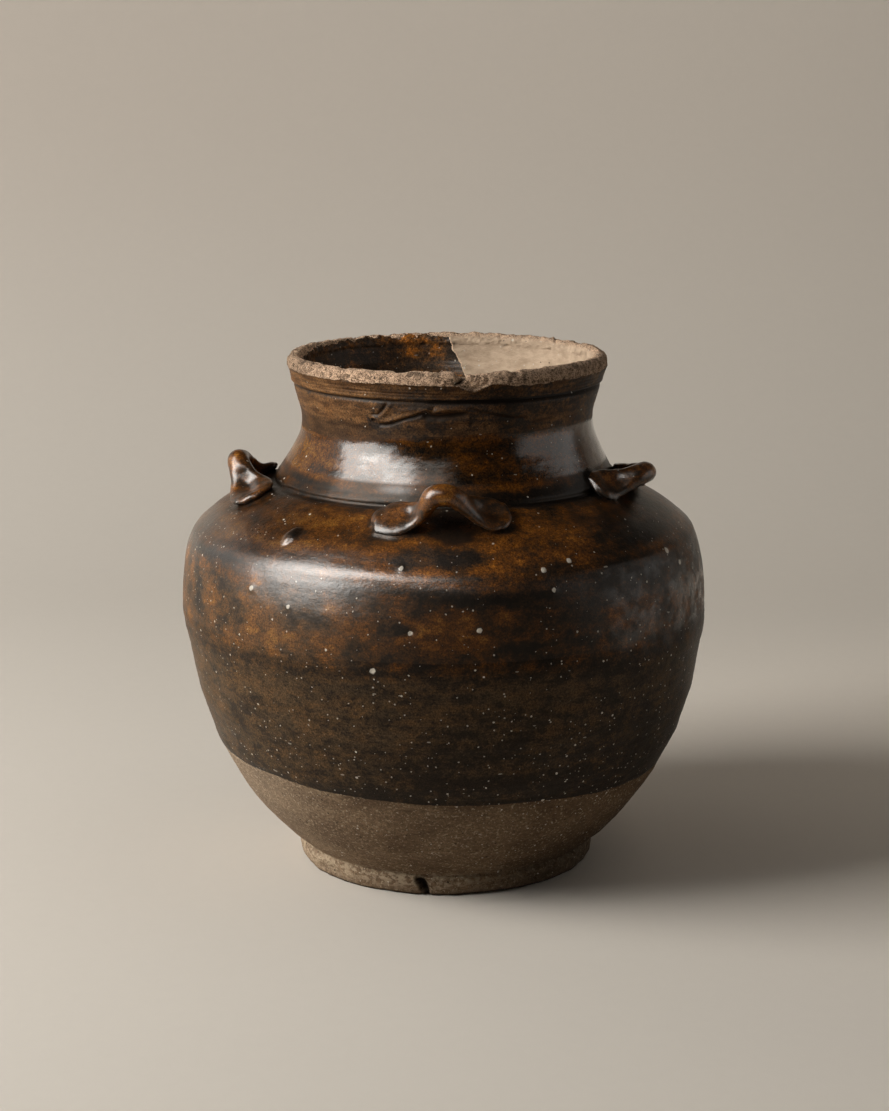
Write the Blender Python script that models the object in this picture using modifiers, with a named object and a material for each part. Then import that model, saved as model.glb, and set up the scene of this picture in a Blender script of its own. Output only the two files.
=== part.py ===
"""Stoneware storage jar: a foot slab, two thrown body sections, a flared neck, a rolled rim and four coil lugs.

Metres, +Z up. The jar stands on Z = 0 with its axis on Z. The front lug is towards -Y.
"""

import math

import bmesh
import bpy
from mathutils import Matrix, Vector
from mathutils.geometry import interpolate_bezier

MM = 0.001
STEPS = 48

# Fit between pieces
SEAM_CLEARANCE = 0.35 * MM
LUG_CLEARANCE = 0.3 * MM
TONGUE_HEIGHT = 1.5 * MM
TONGUE_SHARE = 0.5
MERGE_DISTANCE = 0.01 * MM
SHARP_ANGLE = 35.0

# Foot slab: a disc with a rounded flange, a standing ring and a shallow recess below
FOOT_HEIGHT = 9.1 * MM
FOOT_RING_RADIUS = 58.9 * MM
FLANGE_REACH = 1.1 * MM
FLANGE_CREASE_SHARE = 0.32
FLANGE_CREASE_ANGLE = 82.0
FLANGE_TOP_ANGLE = 150.0
FLANGE_FULLNESS_SHARES = (0.35, 0.3)
FLANGE_TOP_INSET = 0.8 * MM
RECESS_RADIUS = 47.0 * MM
RECESS_DEPTH = 2.4 * MM
RECESS_BEVEL = 1.6 * MM
FLOOR_DISH = 1.2 * MM
FLOOR_RING_SHARES = (0.4, 0.75)

# Lower body: from the slab out to the girth
LOWER_HEIGHT = 96.9 * MM
WALL_FOOT_RADIUS = 60.0 * MM
WALL_FOOT_ANGLE = 41.0
FLOOR_RADIUS = 49.5 * MM
FLOOR_ANGLE = 36.0
GIRTH_RADIUS = 105.7 * MM
GIRTH_WALL = 5.8 * MM
LOWER_FULLNESS_SHARES = (0.34, 0.3)

# Upper body: from the girth over the shoulder to the neck's root
SHOULDER_HEIGHT = 50.4 * MM
ROOT_RADIUS = 68.6 * MM
SHOULDER_ANGLE = 154.5
SHOULDER_WALL = 5.6 * MM
SHOULDER_FULLNESS_SHARES = (0.58, 0.45)

# Neck: drawn in to a waist, then flared up to the rim
NECK_HEIGHT = 37.6 * MM
NECK_ROOT_ANGLE = 122.0
WAIST_SHARE = 0.64
WAIST_RADIUS = 57.8 * MM
WAIST_WALL = 5.6 * MM
FLARE_RADIUS = 61.2 * MM
FLARE_ANGLE = 70.0
FLARE_WALL = 5.8 * MM
NECK_FULLNESS_SHARES = (0.45, 0.31)
FLARE_FULLNESS_SHARES = (0.33, 0.42)

# Rim band: fine turned ridges under a rolled lip
RIDGE_BAND_HEIGHT = 6.6 * MM
RIDGE_COUNT = 3
RIDGE_OVERHANG = 1.5 * MM
RIDGE_DEPTH = 0.6 * MM
LIP_HEIGHT = 4.4 * MM
LIP_OVERHANG = 2.3 * MM
LIP_WIDTH = 6.4 * MM
LIP_SIDES = 8

# Lugs: one coil each, arched over an eyelet and pressed flat at both ends. They are set by hand,
# so each has its own place round the jar, distance out from the neck, rise as a share of the
# arch's span, and lean.
LUG_ANGLES = {"lug_front": -1.0, "lug_right": 72.0, "lug_back": 172.0, "lug_left": -87.0}
LUG_SEAT_SHARES = {"lug_front": 0.29, "lug_right": 0.09, "lug_back": 0.2, "lug_left": 0.23}
LUG_RISE_SHARES = {"lug_front": 0.718, "lug_right": 0.659, "lug_back": 0.635, "lug_left": 0.6}
LUG_LEANS = {"lug_front": -12.0, "lug_right": 33.0, "lug_back": 0.0, "lug_left": 2.0}
LUG_LENGTH = 51.0 * MM
ARCH_SPAN = 17.0 * MM
ARCH_POWER = 3.5
COIL_THICKNESS = 7.8 * MM
COIL_WIDTH = 8.8 * MM
PAD_LENGTH = 17.0 * MM
PAD_WIDTH = 15.6 * MM
PAD_THICKNESS = 5.4 * MM
PAD_SEAT = 1.1 * MM
PAD_SPLAY = 1.5 * MM
PAD_END_SHARE = 0.25
THUMB_DEPTH = 1.6 * MM
THUMB_WIDTH = 9.5 * MM
LUG_SECTIONS = 31
LUG_SIDES = 16

# Heights of the seams, from the pieces stacked below each
GIRTH_Z = FOOT_HEIGHT + LOWER_HEIGHT
ROOT_Z = GIRTH_Z + SHOULDER_HEIGHT
WAIST_Z = ROOT_Z + NECK_HEIGHT * WAIST_SHARE
RIM_Z = ROOT_Z + NECK_HEIGHT
LIP_Z = RIM_Z + RIDGE_BAND_HEIGHT

# The rim band stands out past the neck under it
RIDGE_RADIUS = FLARE_RADIUS + RIDGE_OVERHANG
LIP_RADIUS = FLARE_RADIUS + LIP_OVERHANG


def clear_scene():
    for obj in list(bpy.data.objects):
        bpy.data.objects.remove(obj, do_unlink=True)


def new_collection(name):
    collection = bpy.data.collections.new(name)
    bpy.context.scene.collection.children.link(collection)
    return collection


def new_material(name, colour, roughness):
    material = bpy.data.materials.new(name)
    material.use_nodes = True
    shader = material.node_tree.nodes["Principled BSDF"]
    shader.inputs["Base Color"].default_value = (*colour, 1.0)
    shader.inputs["Roughness"].default_value = roughness
    shader.inputs["Metallic"].default_value = 0.0
    return material


def heading(angle):
    return Vector((math.cos(math.radians(angle)), math.sin(math.radians(angle))))


def arc(start, end, start_angle, end_angle, fullness_shares, count):
    """A curve of (radius, height) points. Its angles are its headings at the ends, and its
    fullness is how far it keeps to each heading, as a share of the chord."""
    chord = (end - start).length
    leave = start + heading(start_angle) * chord * fullness_shares[0]
    arrive = end - heading(end_angle) * chord * fullness_shares[1]
    return interpolate_bezier(start, leave, arrive, end, count)


def seam(outer, inner, lift=0.0):
    """The face between two rings, from its outer edge to its inner one, with a V tongue that
    points into the lower ring. The upper ring's face is lifted by the clearance."""
    across = inner - outer
    down = Vector((-across.y, across.x)).normalized()
    middle = (outer + inner) / 2
    half = across * TONGUE_SHARE / 2
    face = [outer, middle - half, middle + down * TONGUE_HEIGHT, middle + half, inner]
    return [point - down * lift for point in face]


def offset(curve, distance):
    """The curve moved out of the wall by a distance. The curve climbs with the wall on its left."""
    moved = []
    for index, point in enumerate(curve):
        before = curve[max(index - 1, 0)]
        after = curve[min(index + 1, len(curve) - 1)]
        along = (after - before).normalized()
        moved.append(point + Vector((along.y, -along.x)) * distance)
    return moved


def finish(obj, material):
    """Keeps the modelled shape as a plain mesh, smooth except at its real edges."""
    graph = bpy.context.evaluated_depsgraph_get()
    mesh = bpy.data.meshes.new_from_object(obj.evaluated_get(graph))
    obj.modifiers.clear()
    obj.data = mesh
    mesh.name = obj.name
    mesh.materials.clear()
    mesh.materials.append(material)
    mesh.shade_smooth()
    mesh.set_sharp_from_angle(angle=math.radians(SHARP_ANGLE))


def turned(name, profile, collection, closed=True):
    """A solid of revolution round Z. The profile runs down its outer side."""
    edges = [(index, index + 1) for index in range(len(profile) - 1)]
    if closed:
        edges.append((len(profile) - 1, 0))
    mesh = bpy.data.meshes.new(name)
    mesh.from_pydata([(point.x, 0.0, point.y) for point in profile], edges, [])
    obj = bpy.data.objects.new(name, mesh)
    collection.objects.link(obj)
    screw = obj.modifiers.new("Turn", "SCREW")
    screw.axis = "Z"
    screw.steps = STEPS
    screw.render_steps = STEPS
    screw.use_merge_vertices = True
    screw.merge_threshold = MERGE_DISTANCE
    return obj


def ring(name, outer, inner, low, high, collection):
    """A wall section between two seam faces. Both curves climb from the low seam to the high one."""
    profile = high[:1] + outer[-2:0:-1] + low + inner[1:-1] + high[:0:-1]
    return turned(name, profile, collection)


def flange_curve():
    """The flange's outer side, from the standing ring up to the crease under the wall."""
    crease = Vector((FOOT_RING_RADIUS + FLANGE_REACH, FOOT_HEIGHT * FLANGE_CREASE_SHARE))
    top = Vector((WALL_FOOT_RADIUS - FLANGE_TOP_INSET, FOOT_HEIGHT))
    roll = arc(crease, top, FLANGE_CREASE_ANGLE, FLANGE_TOP_ANGLE, FLANGE_FULLNESS_SHARES, 5)
    return [Vector((FOOT_RING_RADIUS, 0.0))] + roll


def shoulder_curve():
    start = Vector((GIRTH_RADIUS, GIRTH_Z))
    end = Vector((ROOT_RADIUS, ROOT_Z))
    return arc(start, end, 90.0, SHOULDER_ANGLE, SHOULDER_FULLNESS_SHARES, 10)


def neck_curve():
    root = Vector((ROOT_RADIUS, ROOT_Z))
    waist = Vector((WAIST_RADIUS, WAIST_Z))
    flare = Vector((FLARE_RADIUS, RIM_Z))
    rise = arc(root, waist, NECK_ROOT_ANGLE, 90.0, NECK_FULLNESS_SHARES, 6)
    return rise[:-1] + arc(waist, flare, 90.0, FLARE_ANGLE, FLARE_FULLNESS_SHARES, 4)


def foot_seam():
    return Vector((WALL_FOOT_RADIUS, FOOT_HEIGHT)), Vector((FLOOR_RADIUS, FOOT_HEIGHT))


def girth_seam():
    return Vector((GIRTH_RADIUS, GIRTH_Z)), Vector((GIRTH_RADIUS - GIRTH_WALL, GIRTH_Z))


def root_seam():
    """Across the wall where the shoulder turns up into the neck, square to their mean heading."""
    root = Vector((ROOT_RADIUS, ROOT_Z))
    inward = heading((SHOULDER_ANGLE + NECK_ROOT_ANGLE) / 2 + 90.0)
    return root, root + inward * SHOULDER_WALL


def rim_seam():
    return Vector((FLARE_RADIUS, RIM_Z)), Vector((FLARE_RADIUS - FLARE_WALL, RIM_Z))


def make_slab(collection):
    groove = seam(*foot_seam())[:0:-1]
    floor = [Vector((0.0, FOOT_HEIGHT - FLOOR_DISH))]
    for share in FLOOR_RING_SHARES:
        floor.append(Vector((FLOOR_RADIUS * share, FOOT_HEIGHT - FLOOR_DISH * (1.0 - share ** 2))))
    under = [
        Vector((RECESS_RADIUS, 0.0)),
        Vector((RECESS_RADIUS - RECESS_BEVEL, RECESS_DEPTH)),
        Vector((0.0, RECESS_DEPTH)),
    ]
    profile = floor + groove + flange_curve()[::-1] + under
    return turned("base_slab", profile, collection, closed=False)


def make_lower_body(collection):
    foot_outer, foot_inner = foot_seam()
    girth_outer, girth_inner = girth_seam()
    outer = arc(foot_outer, girth_outer, WALL_FOOT_ANGLE, 90.0, LOWER_FULLNESS_SHARES, 10)
    inner = arc(foot_inner, girth_inner, FLOOR_ANGLE, 90.0, LOWER_FULLNESS_SHARES, 8)
    low = seam(foot_outer, foot_inner, SEAM_CLEARANCE)
    return ring("lower_body", outer, inner, low, seam(girth_outer, girth_inner), collection)


def make_upper_body(collection):
    girth_outer, girth_inner = girth_seam()
    root_outer, root_inner = root_seam()
    inner = arc(girth_inner, root_inner, 90.0, SHOULDER_ANGLE, SHOULDER_FULLNESS_SHARES, 8)
    low = seam(girth_outer, girth_inner, SEAM_CLEARANCE)
    high = seam(root_outer, root_inner)
    return ring("upper_body", shoulder_curve(), inner, low, high, collection)


def make_neck(collection):
    root_outer, root_inner = root_seam()
    rim_outer, rim_inner = rim_seam()
    waist = Vector((WAIST_RADIUS - WAIST_WALL, WAIST_Z))
    inner = arc(root_inner, waist, NECK_ROOT_ANGLE, 90.0, NECK_FULLNESS_SHARES, 5)[:-1]
    inner += arc(waist, rim_inner, 90.0, FLARE_ANGLE, FLARE_FULLNESS_SHARES, 3)
    low = seam(root_outer, root_inner, SEAM_CLEARANCE)
    return ring("neck", neck_curve(), inner, low, seam(rim_outer, rim_inner), collection)


def make_rim_band(collection):
    low = seam(*rim_seam(), SEAM_CLEARANCE)
    outer = []
    for index in range(2 * RIDGE_COUNT):
        height = RIM_Z + RIDGE_BAND_HEIGHT * (index + 1) / (2 * RIDGE_COUNT)
        outer.append(Vector((RIDGE_RADIUS - RIDGE_DEPTH * (index % 2), height)))
    lip_middle = LIP_RADIUS - LIP_WIDTH / 2
    lip = []
    for index in range(LIP_SIDES + 1):
        turn = math.pi * index / LIP_SIDES
        lip.append(Vector((lip_middle + LIP_WIDTH / 2 * math.cos(turn), LIP_Z + LIP_HEIGHT * math.sin(turn))))
    climb = outer[:-1] + lip
    throat = (lip[-1] + low[-1]) / 2
    return turned("rim_band", climb[::-1] + low + [throat], collection)


def make_envelope(collection):
    """The outside of the shoulder and neck with the lug clearance added, filled in to the axis."""
    outer = offset(shoulder_curve() + neck_curve()[1:], LUG_CLEARANCE)
    top = Vector((0.0, outer[-1].y))
    bottom = Vector((0.0, outer[0].y))
    obj = turned("jar_envelope", [top] + outer[::-1] + [bottom], collection, closed=False)
    obj.hide_render = True
    obj.display_type = "WIRE"
    return obj


def seat_on_shoulder(share):
    """The point of the shoulder at a share of the way out from the root, and its outward normal."""
    radius = ROOT_RADIUS + (GIRTH_RADIUS - ROOT_RADIUS) * share
    curve = shoulder_curve()
    for lower, upper in zip(curve, curve[1:]):
        if upper.x <= radius <= lower.x:
            along = (upper - lower).normalized()
            point = lower.lerp(upper, (lower.x - radius) / (lower.x - upper.x))
            return point, Vector((along.y, -along.x))
    raise ValueError("the lug's seat is off the shoulder")


def smooth_step(value):
    value = min(max(value, 0.0), 1.0)
    return value * value * (3.0 - 2.0 * value)


def lug_path(name, x):
    """The coil's middle at a distance x round from the lug's centre, in the jar's frame with the
    lug's centre over +X, and the direction down the shoulder there."""
    seat, normal = seat_on_shoulder(LUG_SEAT_SHARES[name])
    angle = x / seat.x
    out = Vector((math.cos(angle), math.sin(angle), 0.0))
    up = Vector((0.0, 0.0, 1.0))
    away = out * normal.x + up * normal.y
    slope = out * normal.y - up * normal.x
    lean = math.radians(LUG_LEANS[name])
    rise = ARCH_SPAN * LUG_RISE_SHARES[name] - PAD_SEAT
    arch = rise / (1.0 + abs(2.0 * x / ARCH_SPAN) ** ARCH_POWER)
    splay = PAD_SPLAY * (2.0 * x / LUG_LENGTH) ** 2
    middle = out * seat.x + up * seat.y + away * PAD_SEAT
    middle += slope * (splay + arch * math.sin(lean)) + away * arch * math.cos(lean)
    return middle, slope


def lug_section(name, x):
    """One ring of the coil: round over the eyelet, wide and flat with a thumb mark at the pads."""
    middle, slope = lug_path(name, x)
    step = LUG_LENGTH / LUG_SECTIONS / 2
    along = (lug_path(name, x + step)[0] - lug_path(name, x - step)[0]).normalized()
    rise = slope.cross(along).normalized()
    side = along.cross(rise)
    pad_middle = (LUG_LENGTH - PAD_LENGTH) / 2
    arch_foot = ARCH_SPAN / 3
    press = smooth_step((abs(x) - arch_foot) / (pad_middle - arch_foot))
    past = max(abs(x) - pad_middle, 0.0) / (PAD_LENGTH / 2)
    ends = max(math.sqrt(max(1.0 - past ** 2, 0.0)), PAD_END_SHARE)
    half_width = (COIL_WIDTH + (PAD_WIDTH - COIL_WIDTH) * press) / 2 * ends
    half_thickness = (COIL_THICKNESS + (PAD_THICKNESS - COIL_THICKNESS) * press) / 2 * ends
    points = []
    for index in range(LUG_SIDES):
        turn = 2.0 * math.pi * index / LUG_SIDES
        across = half_width * math.cos(turn)
        height = half_thickness * math.sin(turn)
        reach = math.hypot(across, abs(x) - pad_middle) / (THUMB_WIDTH / 2)
        thumb = THUMB_DEPTH * math.exp(-reach ** 2) * max(math.sin(turn), 0.0)
        points.append(middle + side * across + rise * (height - thumb))
    return points


def make_lug(name, envelope, collection):
    """A coil lofted through its sections, cut to the shoulder that it is pressed onto."""
    model = bmesh.new()
    rings = []
    for index in range(LUG_SECTIONS):
        turn = math.pi * (index / (LUG_SECTIONS - 1) - 0.5)
        x = LUG_LENGTH / 2 * math.sin(turn)
        rings.append([model.verts.new(point) for point in lug_section(name, x)])
    for near, far in zip(rings, rings[1:]):
        for index in range(LUG_SIDES):
            after = (index + 1) % LUG_SIDES
            model.faces.new((near[index], near[after], far[after], far[index]))
    model.faces.new(rings[0])
    model.faces.new(rings[-1][::-1])
    bmesh.ops.recalc_face_normals(model, faces=model.faces)
    model.transform(Matrix.Rotation(math.radians(LUG_ANGLES[name] - 90.0), 4, "Z"))
    mesh = bpy.data.meshes.new(name)
    model.to_mesh(mesh)
    model.free()
    obj = bpy.data.objects.new(name, mesh)
    collection.objects.link(obj)
    cut = obj.modifiers.new("Seat", "BOOLEAN")
    cut.operation = "DIFFERENCE"
    cut.solver = "EXACT"
    cut.object = envelope
    return obj


def main():
    clear_scene()
    jar = new_collection("storage_jar")
    cutters = new_collection("cutters")
    foot_clay = new_material("foot_clay", (0.24, 0.18, 0.125), 0.8)
    belly_glaze = new_material("belly_glaze", (0.075, 0.05, 0.03), 0.4)
    shoulder_glaze = new_material("shoulder_glaze", (0.15, 0.075, 0.025), 0.25)
    neck_glaze = new_material("neck_glaze", (0.12, 0.065, 0.028), 0.35)
    rim_clay = new_material("rim_clay", (0.2, 0.145, 0.1), 0.7)
    lug_glaze = new_material("lug_glaze", (0.14, 0.075, 0.03), 0.2)

    finish(make_slab(jar), foot_clay)
    finish(make_lower_body(jar), belly_glaze)
    finish(make_upper_body(jar), shoulder_glaze)
    finish(make_neck(jar), neck_glaze)
    finish(make_rim_band(jar), rim_clay)
    envelope = make_envelope(cutters)
    for name in LUG_ANGLES:
        finish(make_lug(name, envelope, jar), lug_glaze)


main()
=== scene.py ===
"""Looks of the stoneware storage jar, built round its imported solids.

The surfaces are worked out in millimetres, in the same frame as the solids: +Z up, the jar's axis
on Z, the front lug towards -Y. Angles round the jar run from -Y towards +X, in degrees. One grid of
points covers the wall, up the outside and down the inside, and is cut into the turned pieces.
"""

import math

import bpy
import numpy as np
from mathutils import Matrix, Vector
from mathutils.bvhtree import BVHTree


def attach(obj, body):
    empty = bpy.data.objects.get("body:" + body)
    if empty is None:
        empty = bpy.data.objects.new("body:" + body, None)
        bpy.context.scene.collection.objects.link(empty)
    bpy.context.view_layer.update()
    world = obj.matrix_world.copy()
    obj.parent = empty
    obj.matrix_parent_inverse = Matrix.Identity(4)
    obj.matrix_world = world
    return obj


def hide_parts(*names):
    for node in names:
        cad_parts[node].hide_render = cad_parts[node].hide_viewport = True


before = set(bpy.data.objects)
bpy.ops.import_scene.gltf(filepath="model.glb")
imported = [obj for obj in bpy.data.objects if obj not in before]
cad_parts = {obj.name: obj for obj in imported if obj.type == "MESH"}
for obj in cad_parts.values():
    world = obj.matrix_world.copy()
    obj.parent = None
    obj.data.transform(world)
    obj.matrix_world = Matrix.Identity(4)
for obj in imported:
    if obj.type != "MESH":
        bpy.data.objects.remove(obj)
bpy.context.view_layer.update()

MM = 0.001
COLUMNS = 640

# Sizes, as in the solids

FOOT_Z, GIRTH_Z, ROOT_Z, WAIST_Z, RIM_Z, LIP_Z, TOP_Z = 9.1, 106.0, 156.4, 180.46, 194.0, 200.6, 205.0
RING_R, CREASE_R, FLANGE_R, FOOT_R = 58.9, 60.0, 59.2, 60.0
GIRTH_R, ROOT_R, WAIST_R, FLARE_R, LIP_R, LIP_WIDTH = 105.7, 68.6, 57.8, 61.2, 63.5, 6.4
WALL, NECK_WALL, FLARE_WALL = 5.8, 5.6, 5.8
SHOULDER_ANGLE, NECK_ANGLE, FLARE_ANGLE = 154.5, 122.0, 70.0
RECESS_Z, RECESS_R, FLOOR_R = 2.4, 44.6, 49.5
# The rows at both ends stop just short of the axis, and a fan closes what is left
AXIS_GAP = 0.6

# Noise and shape helpers

NOISE_CELLS = 64
noise_table = np.random.RandomState(7).uniform(-1.0, 1.0, (NOISE_CELLS,) * 3)


def noise(points, scale, seed=0):
    """Smooth noise of about -1 to 1, whose lumps are about scale mm across (one number or three)."""
    place = points / np.asarray(scale, float) + seed * np.array([13.7, 7.3, 29.1])
    cell = np.floor(place).astype(np.int64)
    part = place - cell
    part = part * part * (3.0 - 2.0 * part)
    near, far = cell % NOISE_CELLS, (cell + 1) % NOISE_CELLS
    total = np.zeros(len(points))
    for corner in range(8):
        pick = [(corner >> axis) & 1 for axis in range(3)]
        index = [np.where(p, far[:, axis], near[:, axis]) for axis, p in enumerate(pick)]
        shares = [part[:, axis] if p else 1.0 - part[:, axis] for axis, p in enumerate(pick)]
        total += np.prod(shares, axis=0) * noise_table[index[0], index[1], index[2]]
    return total


def layered(points, scale, seed=0, layers=3):
    """Noise with finer and fainter layers over it."""
    scale = np.asarray(scale, float)
    return sum(noise(points, scale / 2.1**k, seed + 5 * k) / 1.8**k for k in range(layers))


def step(value, low, high):
    """0 below low, 1 above high, smooth between. Works downwards too, with low above high."""
    share = np.clip((value - low) / (high - low), 0.0, 1.0)
    return share * share * (3.0 - 2.0 * share)


def window(value, low, full, past, gone):
    """0 below low, 1 from full to past and 0 again above gone."""
    return step(value, low, full) * (1.0 - step(value, past, gone))


def hump(value, middle, half_width):
    return np.exp(-(((value - middle) / half_width) ** 2))


def turn_between(angle, middle):
    """The angle from middle to angle, from -180 to 180."""
    return (angle - middle + 180.0) % 360.0 - 180.0


def heading(angle):
    return np.array([math.cos(math.radians(angle)), math.sin(math.radians(angle))])


def even(curve, count):
    """The polyline with count points, evenly spaced along it."""
    run = np.concatenate([[0.0], np.cumsum(np.hypot(*np.diff(curve, axis=0).T))])
    at = np.linspace(0.0, run[-1], count)
    return np.column_stack([np.interp(at, run, curve[:, 0]), np.interp(at, run, curve[:, 1])])


def arc(start, end, start_angle, end_angle, shares, count):
    """A curve from start to end that leaves and arrives at the given headings."""
    start, end = np.array(start, float), np.array(end, float)
    chord = np.hypot(*(end - start))
    leave = start + heading(start_angle) * chord * shares[0]
    arrive = end - heading(end_angle) * chord * shares[1]
    t = np.linspace(0.0, 1.0, 300)[:, None]
    curve = (1 - t) ** 3 * start + 3 * t * (1 - t) ** 2 * leave + 3 * t * t * (1 - t) * arrive + t**3 * end
    return even(curve, count)


def line(points, count):
    return even(np.array(points, float), count)


# The jar's section, as (radius, height)


def neck_curve(root, wall_at_waist, wall_at_rim):
    """One face of the neck, from its root past the waist to the flare under the rim."""
    waist = (WAIST_R - wall_at_waist, WAIST_Z)
    return np.vstack([
        arc(root, waist, NECK_ANGLE, 90.0, (0.45, 0.31), 200),
        arc(waist, (FLARE_R - wall_at_rim, RIM_Z), 90.0, FLARE_ANGLE, (0.33, 0.42), 100)[1:],
    ])


def bowl_curve(foot_r, foot_angle, wall, count):
    return arc((foot_r, FOOT_Z), (GIRTH_R - wall, GIRTH_Z), foot_angle, 90.0, (0.34, 0.3), count)


def shoulder_curve(wall, end, count):
    return arc((GIRTH_R - wall, GIRTH_Z), end, 90.0, SHOULDER_ANGLE, (0.58, 0.45), count)


# The inner end of the seam at the neck's root, which crosses the wall square to it
root_inner = np.array([ROOT_R, ROOT_Z]) + heading((SHOULDER_ANGLE + NECK_ANGLE) / 2 + 90.0) * NECK_WALL
ring_edge, flange_crease = (RING_R - 0.8, 0.0), (CREASE_R + 0.1, 2.9)
flange_top, foot_edge = (FLANGE_R + 0.1, FOOT_Z - 0.5), (FOOT_R - 0.1, FOOT_Z)
recess = [(AXIS_GAP, RECESS_Z), (RECESS_R, RECESS_Z), (45.6, 2.2), (46.9, 0.3), (47.6, 0.0), ring_edge]
lip_turns = np.radians(np.linspace(0.0, 180.0, 200))
lip_across = LIP_R - LIP_WIDTH / 2 + LIP_WIDTH / 2 * np.cos(lip_turns)
lip_curve = np.column_stack([lip_across, LIP_Z + (TOP_Z - LIP_Z) * np.sin(lip_turns)])
# Each run of rows, in order: up the outside, over the lip and down the inside. Each run starts on
# the last row of the one before.
RUNS = {
    "slab_out": np.vstack([
        line(recess, 26),
        arc(ring_edge, flange_crease, 0.0, 86.0, (0.2, 0.5), 9)[1:],
        arc(flange_crease, flange_top, 84.0, 145.0, (0.4, 0.35), 17)[1:],
        line([flange_top, foot_edge], 3)[1:],
    ]),
    "lower_out": bowl_curve(FOOT_R, 41.0, 0.0, 124),
    "upper_out": shoulder_curve(0.0, (ROOT_R, ROOT_Z), 96),
    "neck_out": even(neck_curve((ROOT_R, ROOT_Z), 0.0, 0.0), 104),
    "rim": np.vstack([
        line([(FLARE_R, RIM_Z), (62.3, 195.9), (62.8, 198.0), (63.3, 200.0), (LIP_R, LIP_Z)], 30),
        even(lip_curve, 50)[1:],
        line([lip_curve[-1], (FLARE_R - FLARE_WALL, RIM_Z)], 9)[1:],
    ]),
    "neck_in": even(neck_curve(root_inner, NECK_WALL, FLARE_WALL)[::-1], 44),
    "upper_in": shoulder_curve(WALL, root_inner, 24)[::-1],
    "lower_in": bowl_curve(FLOOR_R, 36.0, WALL, 28)[::-1],
    "slab_in": line([(FLOOR_R, FOOT_Z), (30.0, FOOT_Z - 0.7), (AXIS_GAP, FOOT_Z - 1.2)], 14),
}
spans, last_row = {}, 0
for name, rows in RUNS.items():
    spans[name] = (last_row, last_row + len(rows) - 1)
    last_row = spans[name][1]
profile = np.vstack([RUNS["slab_out"][:1], *(rows[1:] for rows in RUNS.values())])
LIP_TOP_ROW = int(np.argmax(profile[:, 1]))

angles = np.linspace(-180.0, 180.0, COLUMNS, endpoint=False)
radians = np.radians(angles)
# Angle 0 looks along -Y, and 90 along +X
AROUND = np.column_stack([np.sin(radians), -np.cos(radians)])


def out_normals(curve):
    along = np.gradient(curve, axis=0)
    along /= np.maximum(np.hypot(*along.T), 1e-9)[:, None]
    return np.column_stack([along[:, 1], -along[:, 0]])


row_normals = out_normals(profile)
rows_count = len(profile)
grid_angle = np.tile(angles, rows_count)
grid_r, grid_z = (np.repeat(profile[:, k], COLUMNS) for k in (0, 1))
normal_r, normal_z = (np.repeat(row_normals[:, k], COLUMNS) for k in (0, 1))
grid_out = np.tile(AROUND, (rows_count, 1))
base = np.column_stack([grid_out * grid_r[:, None], grid_z])
away = np.column_stack([grid_out * normal_r[:, None], normal_z])
outside = np.repeat(np.arange(rows_count), COLUMNS) <= LIP_TOP_ROW
inside = ~outside
# A height that goes on rising over the lip and down the inside
climb_z = np.where(outside, grid_z, 2.0 * TOP_Z - grid_z)


def around_mm(angle, middle):
    """Distance round the surface from an angle, in mm."""
    return np.radians(turn_between(angle, middle)) * grid_r


def near_angle(middle, half):
    """1 at an angle round the jar, fading to 0 on both sides of it."""
    return hump(turn_between(grid_angle, middle), 0.0, half)


def lump(angle, height, half_length, half_height, tilt=0.0):
    """A soft patch round a place: 1 in its middle, 0 well outside it."""
    across, up = around_mm(grid_angle, angle), climb_z - height
    c, s = math.cos(math.radians(tilt)), math.sin(math.radians(tilt))
    u, v = across * c + up * s, up * c - across * s
    return np.exp(-((u / half_length) ** 2) - (v / half_height) ** 2)


def crease(points, half_width):
    """1 along a polyline of (angle, height) points and 0 away from it."""
    nearest = np.full(len(grid_z), 1e9)
    for (angle_a, z_a), (angle_b, z_b) in zip(points, points[1:]):
        across, up = around_mm(grid_angle, angle_a), climb_z - z_a
        du, dv = np.radians(angle_b - angle_a) * grid_r, z_b - z_a
        share = np.clip((across * du + up * dv) / np.maximum(du * du + dv * dv, 1e-9), 0.0, 1.0)
        nearest = np.minimum(nearest, np.hypot(across - share * du, up - share * dv))
    return np.exp(-((nearest / half_width) ** 2))


def by_angle(table):
    """A value read off a table of (angle, value)."""
    return np.interp(grid_angle, *zip(*table))


def by_height(table):
    """A value read off a table of (height, value)."""
    return np.interp(grid_z, *zip(*table))


# Lines that go round the jar: the shoulder's ridge, the seam at the girth, the groove under the rim,
# the glaze's lower edge and the height where the glaze turns dull

ridge_z = by_angle([
    (-180, 134.0), (-120, 131.5), (-92, 130.0), (-77, 133.0), (-61, 135.6), (-47, 139.0), (-30, 140.2),
    (-19, 138.0), (-9.5, 134.0), (7, 129.4), (17, 129.4), (50, 133.0), (90, 137.0), (135, 136.0),
    (180, 134.0),
]) + 0.5 * noise(base, 30.0, 3)
seam_z = 102.0 - 2.6 * np.sin(np.radians(grid_angle + 10.0)) + 0.8 * noise(base, 45.0, 4)
groove_z = RIM_Z - 0.1 + 0.15 * np.sin(np.radians(grid_angle * 2 + 30.0))
flattened = base * [1, 1, 0.2]
line_z = 47.9 - 3.6 * np.sin(np.radians(grid_angle))
line_z += 0.7 * noise(flattened, 26.0, 5) + 0.3 * noise(flattened, 9.0, 6)
gloss_z = by_angle([
    (-180, 178.5), (-120, 177.0), (-78, 176.8), (-57, 176.9), (-34, 177.7), (-21, 179.1), (-6, 180.5),
    (12, 181.1), (48, 181.2), (62, 181.5), (76, 180.4), (120, 180.0), (180, 178.5),
]) + 0.45 * noise(base, 12.0, 8) + 0.3 * noise(base, 4.0, 9)
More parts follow.
